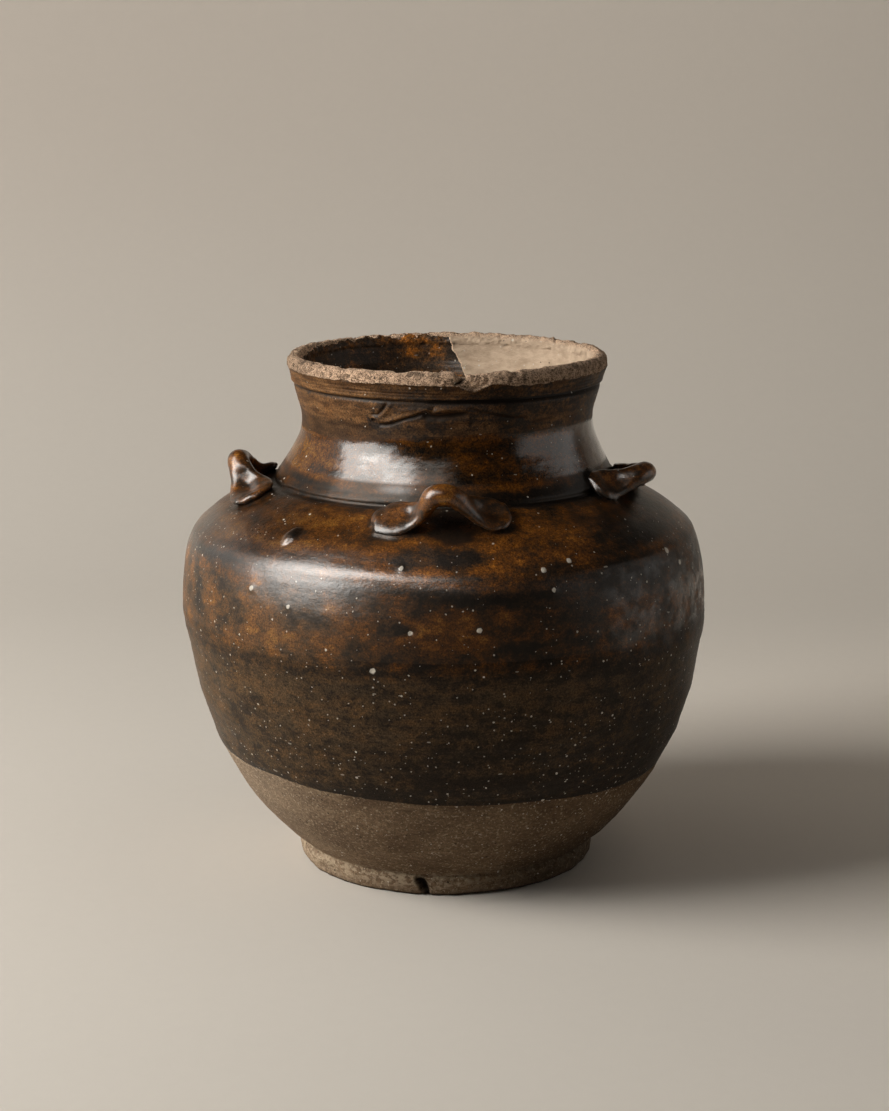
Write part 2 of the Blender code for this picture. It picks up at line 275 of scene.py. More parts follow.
INCISED_Z = 156.3

# Relief, in mm out from the turned section: the turning, the ridge and the lines

rise = np.zeros(len(base))
wall_part = window(grid_z, 10.0, 16.0, 189.0, 193.0) * outside
body_part = window(grid_z, 12.0, 40.0, 150.0, 172.0) * outside
rise += 0.22 * noise(base, 55.0, 1) * body_part
thrown = wall_part
for share, low, high in ((0.5, 96.0, 106.0), (0.75, 112.0, 122.0), (0.95, 146.0, 156.0)):
    thrown = thrown * (1.0 - share * step(grid_z, low, high))
rise += 0.085 * layered(base, (45.0, 45.0, 2.4), 11, 2) * thrown
rise += 0.12 * noise(base, (90.0, 90.0, 6.5), 12) * thrown
rise += 0.05 * layered(base, 4.5, 13, 2) * wall_part
rise += 1.1 * np.exp(-np.sqrt((grid_z - ridge_z) ** 2 + 12.0) / 5.0) * outside
rise -= 0.3 * hump(grid_z, ridge_z - 11.0, 8.0) * outside
rise += 0.3 * hump(grid_z, seam_z, 1.7) * outside * (0.6 + 0.4 * noise(base, 20.0, 14))
rise += 0.16 * step(grid_z, line_z - 0.35, line_z + 0.35) * outside * (grid_z < 75.0)
# Fine turning lines low on the belly and on the bare clay
ripple = np.sin(grid_z * 2.4 + 1.5 * noise(base, 60.0, 15))
rise += 0.045 * ripple * step(noise(base, (50.0, 50.0, 16.0), 16), -0.1, 0.5) * thrown
# Lines incised at the neck's root: one all the way round and two faint ones at the left
rise -= 0.75 * hump(grid_z, INCISED_Z + 0.5 * noise(base, 60.0, 17), 0.75) * outside
left_lines = window(turn_between(grid_angle, -60.0), -75.0, -50.0, 30.0, 60.0) * outside
rise -= 0.04 * hump(grid_z, 159.6 + 0.8 * noise(base, 50.0, 18), 0.7) * left_lines
rise -= 0.02 * hump(grid_z, 163.2 + 0.8 * noise(base, 50.0, 19), 0.9) * left_lines
# The groove under the rim: a black slot in front and to the right, a thin line left of it
groove_depth = by_angle([
    (-180, 0.7), (-26, 0.7), (-22, 0.5), (-8, 0.5), (-4, 1.6), (62, 1.6), (85, 1.0), (180, 0.7),
])
groove_half = by_angle([
    (-180, 0.5), (-26, 0.5), (-22, 0.33), (-8, 0.33), (-4, 0.75), (62, 0.75), (85, 0.55), (180, 0.5),
])
rise -= groove_depth * hump(grid_z, groove_z, groove_half) * outside
rise += 0.35 * hump(grid_z, groove_z + 1.3, 0.6) * outside
for height, depth in ((195.9, 0.2), (197.2, 0.28), (198.6, 0.2)):
    wave = height + 0.25 * noise(base, 30.0, int(height))
    rise -= depth * hump(grid_z, wave, 0.33) * outside * (0.7 + 0.5 * noise(base, 16.0, int(height) + 50))

# Torn clay under the groove, in front and a little to the left


def moved(points, turn, up):
    return [(angle + turn, height + up) for angle, height in points]


CRACK = [
    (-28.1, 186.4), (-25.4, 184.6), (-22.2, 184.7), (-18.1, 186.3),
    (-15.6, 187.2), (-12.1, 188.2), (-9.2, 189.4), (-7.3, 189.9),
]
FOLD = [(-22.2, 192.4), (-23.8, 190.2), (-25.9, 188.5), (-27.8, 188.6)]
HOLLOW = [(-7.3, 188.6), (-3.4, 188.2), (1.5, 188.8), (6.3, 189.5)]
RIGHT_CREASE = [(8.5, 191.8), (12.6, 190.2), (16.1, 189.3), (19.6, 188.3), (24.0, 187.4), (30.0, 187.0)]
UPPER_LUMPS = [(-4.0, 191.2), (0.0, 191.7), (6.5, 191.2)]
SCARS = [  # points, half width, depth: below nought it stands out
    (CRACK, 0.62, 1.15),
    (moved(CRACK, 0.0, 1.5), 1.2, -0.5),
    (moved(CRACK, 0.0, -1.3), 0.9, 0.2),
    (FOLD, 0.55, 0.8),
    (moved(FOLD, 1.6, 0.0), 0.9, -0.35),
    (HOLLOW, 1.15, 1.1),
    (UPPER_LUMPS, 0.8, -0.75),
    ([(7.8, 190.4), (11.0, 190.7)], 0.9, -0.4),
    (RIGHT_CREASE, 0.55, 0.6),
    (moved(RIGHT_CREASE, 0.0, 1.1), 0.8, -0.3),
    ([(-16.5, 190.6), (-12.0, 191.4)], 0.8, -0.35),
    ([(-4.6, 191.9), (-5.4, 190.2)], 0.45, 0.5),
    ([(9.1, 185.9), (9.1, 185.7)], 0.6, 0.45),
    ([(14.3, 185.1), (14.3, 184.9)], 0.5, 0.4),
    ([(33.7, 185.0), (33.7, 184.8)], 0.45, 0.3),
]
torn = hump(grid_angle, -3.0, 21.0) * hump(grid_z, 189.0, 3.6) * outside
rise += 0.3 * torn * layered(base, (4.5, 4.5, 3.0), 21, 3)
for points, width, depth in SCARS:
    rise -= depth * crease(points, width)

# The rim's top is worn and grainy, with a chip in front

worn = step(grid_z, LIP_Z - 0.8, LIP_Z + 0.8)
far_side = step(np.abs(grid_angle), 70.0, 110.0)
lip_grain = 0.24 * layered(base, 1.9, 31, 3) + 0.26 * noise(base, 7.0, 32) + 0.2 * noise(base, 18.0, 35)
rise += worn * lip_grain
lip_pits = worn * step(noise(base, 1.7, 37), 0.3, 0.62)
rise -= 0.3 * lip_pits
rise -= 0.6 * worn * step(noise(base, 4.2, 33), 0.4, 0.75)
rise -= 0.5 * worn * step(noise(base, 11.0, 34), 0.4, 0.85) * far_side
SLASH = [(6.0, 205.4), (5.7, 204.0), (3.1, 201.6)]
chip_foot = by_angle([
    (2.4, 203.5), (3.4, 201.0), (5.0, 199.5), (7.4, 198.6), (9.5, 198.2),
    (11.4, 198.9), (12.5, 200.0), (14.2, 200.5), (15.4, 202.6), (16.6, 206.0),
])
chip_sides = window(grid_angle, 2.2, 4.0, 14.8, 16.8)
chip = chip_sides * window(climb_z, chip_foot - 0.1, chip_foot + 1.0, 205.2, 207.6)
chip_depth = by_angle([(3.0, 1.7), (5.0, 1.6), (9.0, 1.0), (15.0, 0.5)])
chip_reach = np.hypot(np.radians(grid_angle - 4.6) * LIP_R, climb_z - TOP_Z)
rise -= chip * (chip_depth + 0.16 * np.sin(chip_reach * 2.6 + 1.2 * noise(base, 3.0, 36)))
rise += 0.25 * chip_sides * step(grid_angle, 7.0, 10.0) * hump(climb_z, chip_foot - 0.35, 0.45)
rise -= 1.5 * crease(SLASH, 0.75)

# The foot: a worn flange, with a notch in front and small dents

foot_part = (grid_z < FOOT_Z + 0.4) * (grid_r > 55.0) * outside
rise += foot_part * (0.28 * layered(base, (9.0, 9.0, 3.5), 41, 3) + 0.3 * noise(base, 26.0, 42))
rise -= foot_part * 0.7 * step(noise(base, 7.0, 43), 0.4, 0.85)
notch_across = np.radians(turn_between(grid_angle, -8.6 - 0.4 * (grid_z - 4.0))) * FOOT_R
notch_half = by_height([(0.0, 0.25), (0.8, 0.7), (2.5, 1.4), (5.0, 1.9), (7.0, 1.8), (8.6, 0.8)])
notch = np.exp(-((notch_across / notch_half) ** 4)) * foot_part * (1.0 - step(grid_z, 7.2, 8.8))
rise -= 3.4 * notch

# Inside: turning ribs in the throat

throat = inside * step(grid_z, 120.0, 150.0)
ribs = np.sin(grid_z * 1.9 + 2.0 * noise(base, 40.0, 51))
rise += throat * (0.07 * ribs + 0.12 * layered(base, (14.0, 14.0, 5.0), 52, 2))
rise *= step(grid_r, 2.0, 12.0)

# The jar isn't quite round: how far its left and right sides stand out from the turned section

LEFT_SIDE = [
    (0, 0.2), (10, 0.2), (14, 0.5), (21, 0.75), (29.6, 1.15), (33.3, 1.2), (37, 0.95), (40, 0.6),
    (44.7, 0.35), (49.4, 0.2), (53.4, 0.1), (56.7, -0.45), (60.8, -1.0), (64, -1.25), (69, -1.55),
    (72, -1.6), (77, -1.85), (80, -2.05), (84, -2.15), (88, -2.2), (92.6, -2.1), (97, -1.7),
    (99.7, -1.45), (103.3, -1.15), (106, -1.0), (114.7, -0.8), (122.6, -0.7), (129.6, -0.75),
    (133.7, -0.6), (135.6, -0.4), (138, -0.5), (140, -0.85), (142, -1.0), (148, -0.9), (156, -0.6),
    (169, -0.55), (173.9, -0.7), (178.3, -0.6), (182.8, -0.25), (187.3, 0.0), (191.6, -0.3),
    (195.2, -0.8), (199.3, -0.8), (202.3, -0.45), (204.7, 0.3),
]
RIGHT_SIDE = [
    (0, -0.6), (3, -0.6), (10, 0.0), (16.5, 0.4), (22, 0.35), (27.4, 0.22), (32.5, 0.3), (35.5, 0.5),
    (40.8, 0.6), (44.7, 0.2), (47.8, 0.2), (53.4, 0.45), (56.7, 0.7), (60, 0.3), (64, 0.1), (68.3, -0.1),
    (72.6, -0.1), (76, -0.2), (80.3, -0.8), (84.7, -1.1), (88.2, -1.2), (92.6, -1.1), (96.2, -0.8),
    (99.7, -0.8), (103.3, -0.75), (106.7, -1.05), (114.7, -0.9), (118.3, -0.9), (122.6, -0.75),
    (126.9, -0.8), (129.6, -0.77), (134.3, -0.75), (136.8, -0.5), (139.7, -0.85), (141, -1.1),
    (148, -0.9), (156, -0.3), (169.7, 0.5), (173.9, 0.35), (178.3, 0.28), (183.5, 0.15), (187.3, 0.3),
    (191.6, 0.15), (195.2, -0.5), (199.3, -0.1), (202, 0.3), (204.3, 0.8),
]


def side_offset(angle, height):
    """How far the wall stands out from the turned section there, in mm."""
    left = np.interp(height, *zip(*LEFT_SIDE))
    right = np.interp(height, *zip(*RIGHT_SIDE))
    turn = np.sin(np.radians(angle))
    return left * (1.0 - turn) / 2 + right * (1.0 + turn) / 2


rise += side_offset(grid_angle, grid_z) * np.where(outside, 1.0, step(grid_z, 150.0, 170.0))

# Beads of glaze and grit, and one round drop of glaze to the left

BEADS = [  # angle, height, half width, how far it stands out
    (-9.1, 139.6, 1.2, 0.4),
    (7.1, 118.3, 1.4, 0.4),
    (23.0, 131.0, 1.2, 0.35),
    (21.6, 137.9, 1.4, 0.45),
    (-43.9, 127.1, 1.5, 0.4),
    (-33.3, 123.0, 1.2, 0.3),
    (-6.6, 117.2, 1.3, -0.4),
    (-14.2, 102.5, 1.6, -0.4),
    (28.4, 140.2, 1.3, 0.3),
    (58.0, 136.5, 1.6, 0.35),
    (62.0, 131.0, 1.4, 0.3),
    (130.0, 138.0, 1.7, 0.6),
    (-118.0, 128.0, 1.4, 0.45),
    (165.0, 120.0, 1.5, 0.4),
    (-150.0, 141.0, 1.2, 0.4),
]
for angle, height, half, stand in BEADS:
    rise += stand * lump(angle, height, half, half) * outside
DROP_ANGLE, DROP_Z, DROP_R, DROP_STAND = -39.6, 146.0, 2.6, 1.35
drop_reach = np.hypot(around_mm(grid_angle, DROP_ANGLE), grid_z - DROP_Z) / DROP_R
rise += DROP_STAND * np.sqrt(np.clip(1.0 - drop_reach**2, 0.0, 1.0)) * outside

# The belly leans a little to the left of the rim's axis

LEAN, LEAN_TO, LEAN_GONE = 1.1, 140.0, 185.0  # how far, and between what heights it fades out
placed = base + away * rise[:, None]
placed[:, 0] -= LEAN * window(grid_z, 20.0, 75.0, LEAN_TO, LEAN_GONE)
placed[:, 2] = np.maximum(placed[:, 2], 0.0)


# Lugs, laid out as in the solids

LUGS = {  # angle, share of the way out from the neck
    "lug_front": (-1.0, 0.29),
    "lug_right": (72.0, 0.09),
    "lug_back": (172.0, 0.2),
    "lug_left": (-87.0, 0.23),
}
LUG_SECTIONS, LUG_SIDES = 121, 48
# Each coil, from one pad's tip to the other: place along the wall, height over it, how far down the
# slope, half width, half thickness, depth of the thumb print, turn of the section in degrees
COILS = {
    "lug_front": [
        (-26.2, 1.0, -0.4, 0.6, 0.4, 0.0, 0),
        (-25.2, 1.3, -1.0, 3.8, 1.5, 0.1, -6),
        (-21.0, 1.9, -1.4, 7.2, 2.1, 0.4, -10),
        (-15.5, 2.3, -2.0, 8.2, 2.3, 0.9, -12),
        (-10.6, 3.4, -2.5, 6.8, 2.5, 1.7, -12),
        (-6.8, 5.8, -2.3, 5.3, 2.9, 0.7, -6),
        (-4.5, 10.2, -1.7, 4.6, 3.6, 0.0, 0),
        (-2.3, 13.3, -1.5, 4.3, 4.0, 0.0, 0),
        (1.6, 13.6, -1.9, 4.2, 3.8, 0.0, 0),
        (5.6, 11.2, -2.4, 4.4, 3.4, 0.0, 0),
        (9.2, 8.0, -2.9, 5.2, 3.0, 0.6, 0),
        (13.2, 4.8, -3.9, 7.3, 2.8, 1.9, -4),
        (17.6, 3.0, -4.3, 8.6, 2.6, 2.4, -6),
        (22.4, 2.2, -3.8, 8.0, 2.3, 1.7, -6),
        (26.0, 1.7, -2.9, 5.0, 1.7, 0.5, -4),
        (27.4, 1.4, -2.6, 0.6, 0.5, 0.0, 0),
    ],
    "lug_left": [
        (-24.0, 1.4, -2.2, 0.6, 0.4, 0.0, 0),
        (-22.8, 1.7, -2.2, 4.6, 1.6, 0.1, 0),
        (-18.5, 2.2, -2.0, 7.2, 2.2, 0.6, -6),
        (-14.0, 2.8, -1.6, 7.4, 2.4, 1.2, -6),
        (-10.0, 4.6, -1.0, 5.8, 2.7, 0.6, 0),
        (-6.4, 8.6, -0.4, 4.7, 3.3, 0.0, 0),
        (-2.6, 11.8, 0.0, 4.4, 3.8, 0.0, 0),
        (1.6, 12.2, 0.3, 4.3, 4.0, 0.0, 0),
        (5.0, 10.2, 0.4, 4.5, 3.6, 0.0, 0),
        (8.2, 6.6, 0.5, 5.4, 3.0, 0.9, 0),
        (12.0, 3.8, 0.6, 7.4, 2.6, 2.2, 0),
        (17.5, 2.2, 0.8, 8.8, 2.4, 1.2, 0),
        (22.4, 1.7, 1.0, 7.4, 2.0, 0.4, 0),
        (25.4, 1.4, 1.2, 3.6, 1.3, 0.0, 0),
        (26.2, 1.2, 1.2, 0.6, 0.4, 0.0, 0),
    ],
    "lug_right": [
        (-21.0, 1.6, -2.6, 0.6, 0.4, 0.0, -10),
        (-20.0, 1.9, -2.6, 4.4, 1.6, 0.1, -12),
        (-17.0, 2.6, -2.7, 7.0, 2.2, 0.5, -16),
        (-13.2, 3.0, -2.3, 7.4, 2.4, 1.3, -16),
        (-9.6, 4.4, -0.4, 6.2, 2.7, 1.7, -8),
        (-6.0, 6.8, 2.2, 5.0, 3.2, 0.5, 0),
        (-2.4, 9.4, 4.8, 4.4, 3.6, 0.0, 0),
        (1.5, 10.4, 5.8, 4.4, 3.8, 0.0, 0),
        (5.4, 9.0, 4.8, 4.6, 3.5, 0.0, 0),
        (9.0, 6.4, 2.8, 5.6, 3.0, 0.6, 0),
        (13.0, 4.2, 0.9, 7.0, 2.6, 1.4, -6),
        (17.5, 2.8, 0.4, 7.2, 2.3, 1.0, -6),
        (21.0, 2.2, 0.2, 5.0, 1.8, 0.3, -4),
        (22.6, 1.7, 0.1, 0.6, 0.4, 0.0, 0),
    ],
}
COILS["lug_back"] = [(-x, lift, -drift, *rest) for x, lift, drift, *rest in COILS["lug_left"][::-1]]
shoulder = RUNS["upper_out"]
shoulder_normals = out_normals(shoulder)


def lug_seat(name):
    """The radius, height and outward direction of the shoulder under a lug."""
    radius = ROOT_R + (GIRTH_R - ROOT_R) * LUGS[name][1]
    z, *normal = (np.interp(-radius, -shoulder[:, 0], row) for row in (shoulder[:, 1], *shoulder_normals.T))
    return radius, z, np.array(normal) / np.hypot(*normal)


def smooth_rows(rows, count):
    """A smooth curve through rows of numbers, in steps that are close at both ends."""
    rows = np.array(rows, float)
    knots = np.concatenate([[0.0], np.cumsum(np.linalg.norm(np.diff(rows[:, :3], axis=0), axis=1))])
    slopes = np.gradient(rows, knots, axis=0)
    even_share = np.linspace(0.0, 1.0, count)
    at = knots[-1] * (0.35 * (1.0 - np.cos(np.linspace(0.0, math.pi, count))) / 2 + 0.65 * even_share)
    index = np.clip(np.searchsorted(knots, at, side="right") - 1, 0, len(knots) - 2)
    width = (knots[index + 1] - knots[index])[:, None]
    t = (at - knots[index])[:, None] / width
    from_ends = (2 * t**3 - 3 * t**2 + 1) * rows[index] + (3 * t**2 - 2 * t**3) * rows[index + 1]
    from_slopes = (t**3 - 2 * t**2 + t) * slopes[index] + (t**3 - t**2) * slopes[index + 1]
    return from_ends + from_slopes * width


def lug_rings(name):
    """The coil's rings of points, from one pad to the other."""
    angle = LUGS[name][0]
    radius, z, normal = lug_seat(name)
    rows = smooth_rows(COILS[name], LUG_SECTIONS)
    turn = np.radians(angle) + rows[:, 0] / radius
    out = np.column_stack([np.sin(turn), -np.cos(turn), np.zeros(LUG_SECTIONS)])
    up = np.array([0.0, 0.0, 1.0])
    clear, slope = out * normal[0] + up * normal[1], out * normal[1] - up * normal[0]
    seated = rows[:, 1:2] + side_offset(angle, z)
    middle = out * radius + up * z + clear * seated + slope * rows[:, 2:3]
    along = np.gradient(middle, axis=0)
    along /= np.linalg.norm(along, axis=1)[:, None]
    turns = 2.0 * np.pi * np.arange(LUG_SIDES) / LUG_SIDES
    rings = []
    for i, (_, _, _, half_width, half_thick, print_depth, degrees) in enumerate(rows):
        face = np.cross(slope[i], along[i])
        face /= np.linalg.norm(face)
        if face @ (clear[i] + 0.3 * out[i]) < 0:
            face = -face
        side = np.cross(along[i], face)
        if side @ slope[i] < 0:
            side = -side
        c, s = math.cos(math.radians(degrees)), math.sin(math.radians(degrees))
        side, face = side * c + face * s, face * c - side * s
        half_width, half_thick = max(half_width, 0.2), max(half_thick, 0.2)
        across, height = half_width * np.cos(turns), half_thick * np.sin(turns)
        press = print_depth * hump(across, 0.0, 0.55 * half_width) * np.maximum(np.sin(turns), 0.0)
        rings.append(middle[i] + np.outer(across, side) + np.outer(height - press, face))
    return np.array(rings)


def in_a_ring(first, count):
    """Pairs of neighbours among count points numbered from first, the last one with the first."""
    return [(first + k, first + (k + 1) % count) for k in range(count)]


def lug_mesh_data(name):
    """A lug's points, lumpy and leaning with the wall, and its faces."""
    rings = lug_rings(name)
    seed = 60 + list(LUGS).index(name)
    points = rings.reshape(-1, 3)
    out = points - np.repeat(rings.mean(1), LUG_SIDES, axis=0)
    out /= np.maximum(np.linalg.norm(out, axis=1), 1e-6)[:, None]
    points = points + out * (0.3 * noise(points, 6.0, seed) + 0.12 * noise(points, 2.4, seed + 9))[:, None]
    points[:, 0] -= LEAN * (1.0 - step(points[:, 2], LEAN_TO, LEAN_GONE))
    last_ring = (LUG_SECTIONS - 1) * LUG_SIDES
    faces = []
    for first in range(0, last_ring, LUG_SIDES):
        faces.extend((a, b, b + LUG_SIDES, a + LUG_SIDES) for a, b in in_a_ring(first, LUG_SIDES))
    faces.append(tuple(range(LUG_SIDES))[::-1])
    faces.append(tuple(range(last_ring, last_ring + LUG_SIDES)))
    return points, faces


lug_data = {name: lug_mesh_data(name) for name in LUGS}

# Glaze and clay fill the corner round each lug, so the wall rises to meet it

FILLET_REACH, FILLET_RISE, SEARCH, FAR = 2.6, 1.1, 6.0, 99.0
near_lugs = np.nonzero(outside & (grid_z > 132.0) & (grid_z < 172.0))[0]
lug_gap = np.full(len(base), FAR)
for points, faces in lug_data.values():
    tree = BVHTree.FromPolygons([Vector(p) for p in points], faces)
    low, high = points.min(0) - SEARCH, points.max(0) + SEARCH
    for index in near_lugs:
        p = placed[index]
        if (p >= low).all() and (p <= high).all():
            lug_gap[index] = min(lug_gap[index], tree.find_nearest(Vector(p))[3])
fillet = FILLET_RISE * np.clip(1.0 - lug_gap / FILLET_REACH, 0.0, 1.0) ** 2
placed += away * fillet[:, None]

# Warmth: 0 is the blackest glaze and 1 the most amber

warmth = by_height([
    (40, 0.1), (52, 0.13), (62, 0.24), (75, 0.3), (90, 0.3), (100, 0.24), (104, 0.36), (112, 0.46),
    (122, 0.44), (128, 0.34), (134, 0.44), (139, 0.62), (148, 0.66), (154, 0.5), (157, 0.36), (161, 0.5),
    (168, 0.66), (178, 0.7), (184, 0.5), (194, 0.4), (196, 0.5),
])
shoulder_part = window(grid_z, 132.0, 138.0, 184.0, 190.0)
belly_part = window(grid_z, 101.0, 107.0, 128.0, 136.0)
low_part = 1.0 - step(grid_z, 98.0, 104.0)
for part, share, scale, seed, layers in (
    (shoulder_part, 0.18, (46.0, 46.0, 4.0), 71, 3),
    (shoulder_part, 0.17, 11.0, 72, 3),
    (belly_part, 0.3, (7.0, 7.0, 6.0), 73, 4),
    (belly_part, 0.17, (60.0, 60.0, 14.0), 74, 1),
    (low_part, 0.07, (70.0, 70.0, 6.0), 75, 2),
    (low_part, 0.15, (17.0, 17.0, 14.0), 76, 3),
):
    warmth += share * part * layered(base, scale, seed, layers)
# Warmer at the left, darker in front and at the right
warmth += by_angle([
    (-180, -0.05), (-120, 0.02), (-75, 0.08), (-45, 0.03), (-10, -0.06), (30, -0.1), (70, -0.12),
    (130, -0.04), (180, -0.05),
])
warmth -= 0.16 * step(grid_z, 160.0, 166.0) * window(grid_angle, -40.0, -18.0, 80.0, 120.0)
warmth += 0.12 * near_angle(-66.0, 26.0) * step(grid_z, 158.0, 164.0)
DARK_STREAKS = [  # angle, height, half length, half height, tilt, strength
    (38.0, 158.8, 34.0, 2.2, 1.0, 0.75),
    (-58.0, 161.5, 26.0, 1.4, -3.0, 0.5),
    (-42.0, 165.5, 16.0, 1.6, -6.0, 0.4),
    (0.0, 143.0, 15.0, 2.6, 0.0, 0.7),
    (14.0, 129.4, 30.0, 1.6, 2.0, 0.45),
    (-8.0, 131.5, 24.0, 1.4, -2.0, 0.35),
    (-60.0, 134.6, 26.0, 1.6, 3.0, 0.55),
    (-76.0, 141.0, 14.0, 2.5, 0.0, 0.3),
    (55.0, 147.0, 24.0, 4.0, 0.0, 0.35),
    (46.0, 132.0, 20.0, 9.0, 0.0, 0.3),
    (-8.8, 118.5, 2.6, 1.8, 0.0, 0.5),
    (-3.3, 104.6, 6.0, 1.5, 0.0, 0.6),
    (-14.8, 102.2, 5.0, 1.4, 0.0, 0.6),
    (18.0, 111.0, 9.0, 1.8, 0.0, 0.5),
    (-64.0, 112.0, 5.0, 10.0, 20.0, 0.4),
    (120.0, 150.0, 26.0, 3.0, 0.0, 0.5),
    (-140.0, 146.0, 30.0, 2.4, 2.0, 0.5),
    (160.0, 130.0, 34.0, 2.0, 0.0, 0.45),
    (-110.0, 108.0, 18.0, 5.0, 0.0, 0.35),
    (140.0, 112.0, 14.0, 5.0, 0.0, 0.4),
]
for *place, strength in DARK_STREAKS:
    warmth -= strength * lump(*place)
warmth -= 0.3 * (1.0 - step(lug_gap, 0.6, 3.4))
warmth -= 0.35 * hump(grid_z, groove_z, 0.8) * outside
warmth -= 0.3 * hump(grid_z, INCISED_Z, 1.3) * outside
warmth -= 0.5 * lump(DROP_ANGLE + 0.6, DROP_Z + 0.6, 3.2, 2.7)
warmth += 0.24 * lump(-3.0, 121.0, 30.0, 9.0)
amber = lump(-165.5, 210.5, 6.0, 6.0) * (1.0 + 0.5 * noise(base, 5.0, 87))
amber += 0.25 * lump(-150.0, 208.0, 9.0, 3.0) + 0.22 * lump(-174.0, 212.0, 7.0, 8.0)
warmth = np.where(inside, 0.09 + 0.13 * layered(base, 5.0, 83, 3) + 0.26 * amber, warmth)

# How far into the glaze a place is, in mm: below nought it is bare clay

lip_edge = LIP_Z + 0.2 + 0.55 * layered(base, 4.5, 81, 2) - grid_z
lip_edge = np.minimum(lip_edge, np.where(chip_sides > 0.3, chip_foot - grid_z, 30.0))
lip_edge -= 0.9 * window(grid_angle, 16.0, 20.0, 50.0, 60.0) * step(noise(base, 5.0, 85), -0.2, 0.4)
outer_edge = np.minimum(grid_z - line_z, lip_edge)
# Inside, the right half is bare pale clay and the left half is glazed
inner_turn = turn_between(grid_angle, 84.0 + 0.49 * (np.maximum(grid_z, 180.0) - 192.6))
inner_edge = (np.abs(inner_turn) - 90.0) * np.radians(1.0) * grid_r + 1.0 * layered(base, 4.0, 82, 2)
back_lip = LIP_Z + 0.9 + 2.7 * step(np.abs(grid_angle), 80.0, 125.0) + 1.1 * layered(base, 3.0, 86, 2)
glaze_edge = np.where(outside, outer_edge, np.minimum(inner_edge, back_lip - grid_z))
cream = inside * step(inner_edge, 0.5, -0.5) * (1.0 - step(grid_z, LIP_Z + 2.4, LIP_Z + 4.6))

# Gloss: sharp on the neck, softer down the belly, dull where the glaze is thin under the rim

thin = step(grid_z, gloss_z - 0.9, gloss_z + 0.9)
gloss = by_height([
    (45, 0.36), (60, 0.4), (98, 0.42), (106, 0.36), (126, 0.38), (131, 0.5), (138, 0.66), (150, 0.66),
    (163.3, 0.6), (164.6, 1.0), (200, 1.0),
])
gloss *= np.where(outside, 1.0 - 0.8 * thin, 0.45)
gloss += 0.1 * layered(base, 18.0, 84, 2) * outside

# Coat: how strongly the glaze mirrors the lamps


def faded(factor, share):
    """The factor where share is 1, and 1 where it is 0."""
    return 1.0 + (factor - 1.0) * share


coat = by_height([
    (0, 0.0), (60, 0.03), (100, 0.04), (108, 0.06), (116, 0.12), (123, 0.26), (129, 0.5), (133, 0.85),
    (144, 0.85), (147, 0.25), (150, 0.1), (157, 0.08), (163.3, 0.08), (164.6, 1.0), (205, 1.0),
])
coat *= np.where(outside, 1.0 - 0.92 * thin, 0.35)
neck_coat = by_angle([
    (-180, 0.5), (-110, 0.1), (-58, 0.08), (-46, 0.66), (-12, 0.66), (-8, 0.2), (-4, 0.1), (18, 0.12),
    (25, 0.6), (28, 1.0), (110, 1.0), (180, 0.6),
])
coat *= faded(neck_coat, step(grid_z, 150.0, 160.0))
coat = np.maximum(coat, 0.34 * near_angle(-16.0, 7.0) * hump(grid_z, 162.0, 1.6) * outside)
front_coat = by_angle([(-180, 1.0), (-20, 1.0), (-8, 0.3), (20, 0.2), (30, 1.0), (180, 1.0)])
coat *= faded(front_coat, step(grid_z, 133.0, 130.0))
back_coat = by_angle([
    (-180, 0.3), (-100, 0.3), (-80, 1.0), (-2, 1.0), (8, 0.25), (30, 0.4), (60, 0.4), (90, 0.3), (180, 0.3),
])
coat *= faded(back_coat, window(grid_z, 133.0, 136.0, 150.0, 155.0))
# A grey bloom at the right of the belly, and dull blotches over it
bloom = window(grid_angle, 26.0, 42.0, 72.0, 88.0) * hump(grid_z, 119.0, 13.0) * outside
blotches = layered(base, (8.0, 8.0, 6.0), 89, 3)
coat = np.maximum(coat, bloom * (0.64 + 0.8 * blotches + 0.6 * layered(base, 2.6, 91, 2)))
dulled = 0.5 + 0.45 * step(blotches + 0.5 * layered(base, 2.6, 90, 2), 0.5, -0.5)
coat *= 1.0 - window(grid_angle, 20.0, 36.0, 76.0, 92.0) * dulled * hump(grid_z, 133.0, 11.0)

# Specks: the share of places that hold a pale speck, and the beads' own tops

specks = by_height([
    (9, 0.25), (40, 0.4), (46, 0.8), (60, 0.75), (80, 0.5), (104, 0.36), (130, 0.24), (150, 0.18),
    (175, 0.12), (205, 0.1),
])
specks += inside * 0.4
for share, angle, half, height, half_height in (
    (0.5, -72.0, 26.0, 135.0, 22.0), (0.4, 62.0, 24.0, 122.0, 20.0), (0.22, -70.0, 20.0, 120.0, 16.0),
):
    specks += share * near_angle(angle, half) * hump(grid_z, height, half_height)
bead_tops = np.max([lump(angle, height, 0.8 * half, 0.8 * half) for angle, height, half, _ in BEADS], axis=0)
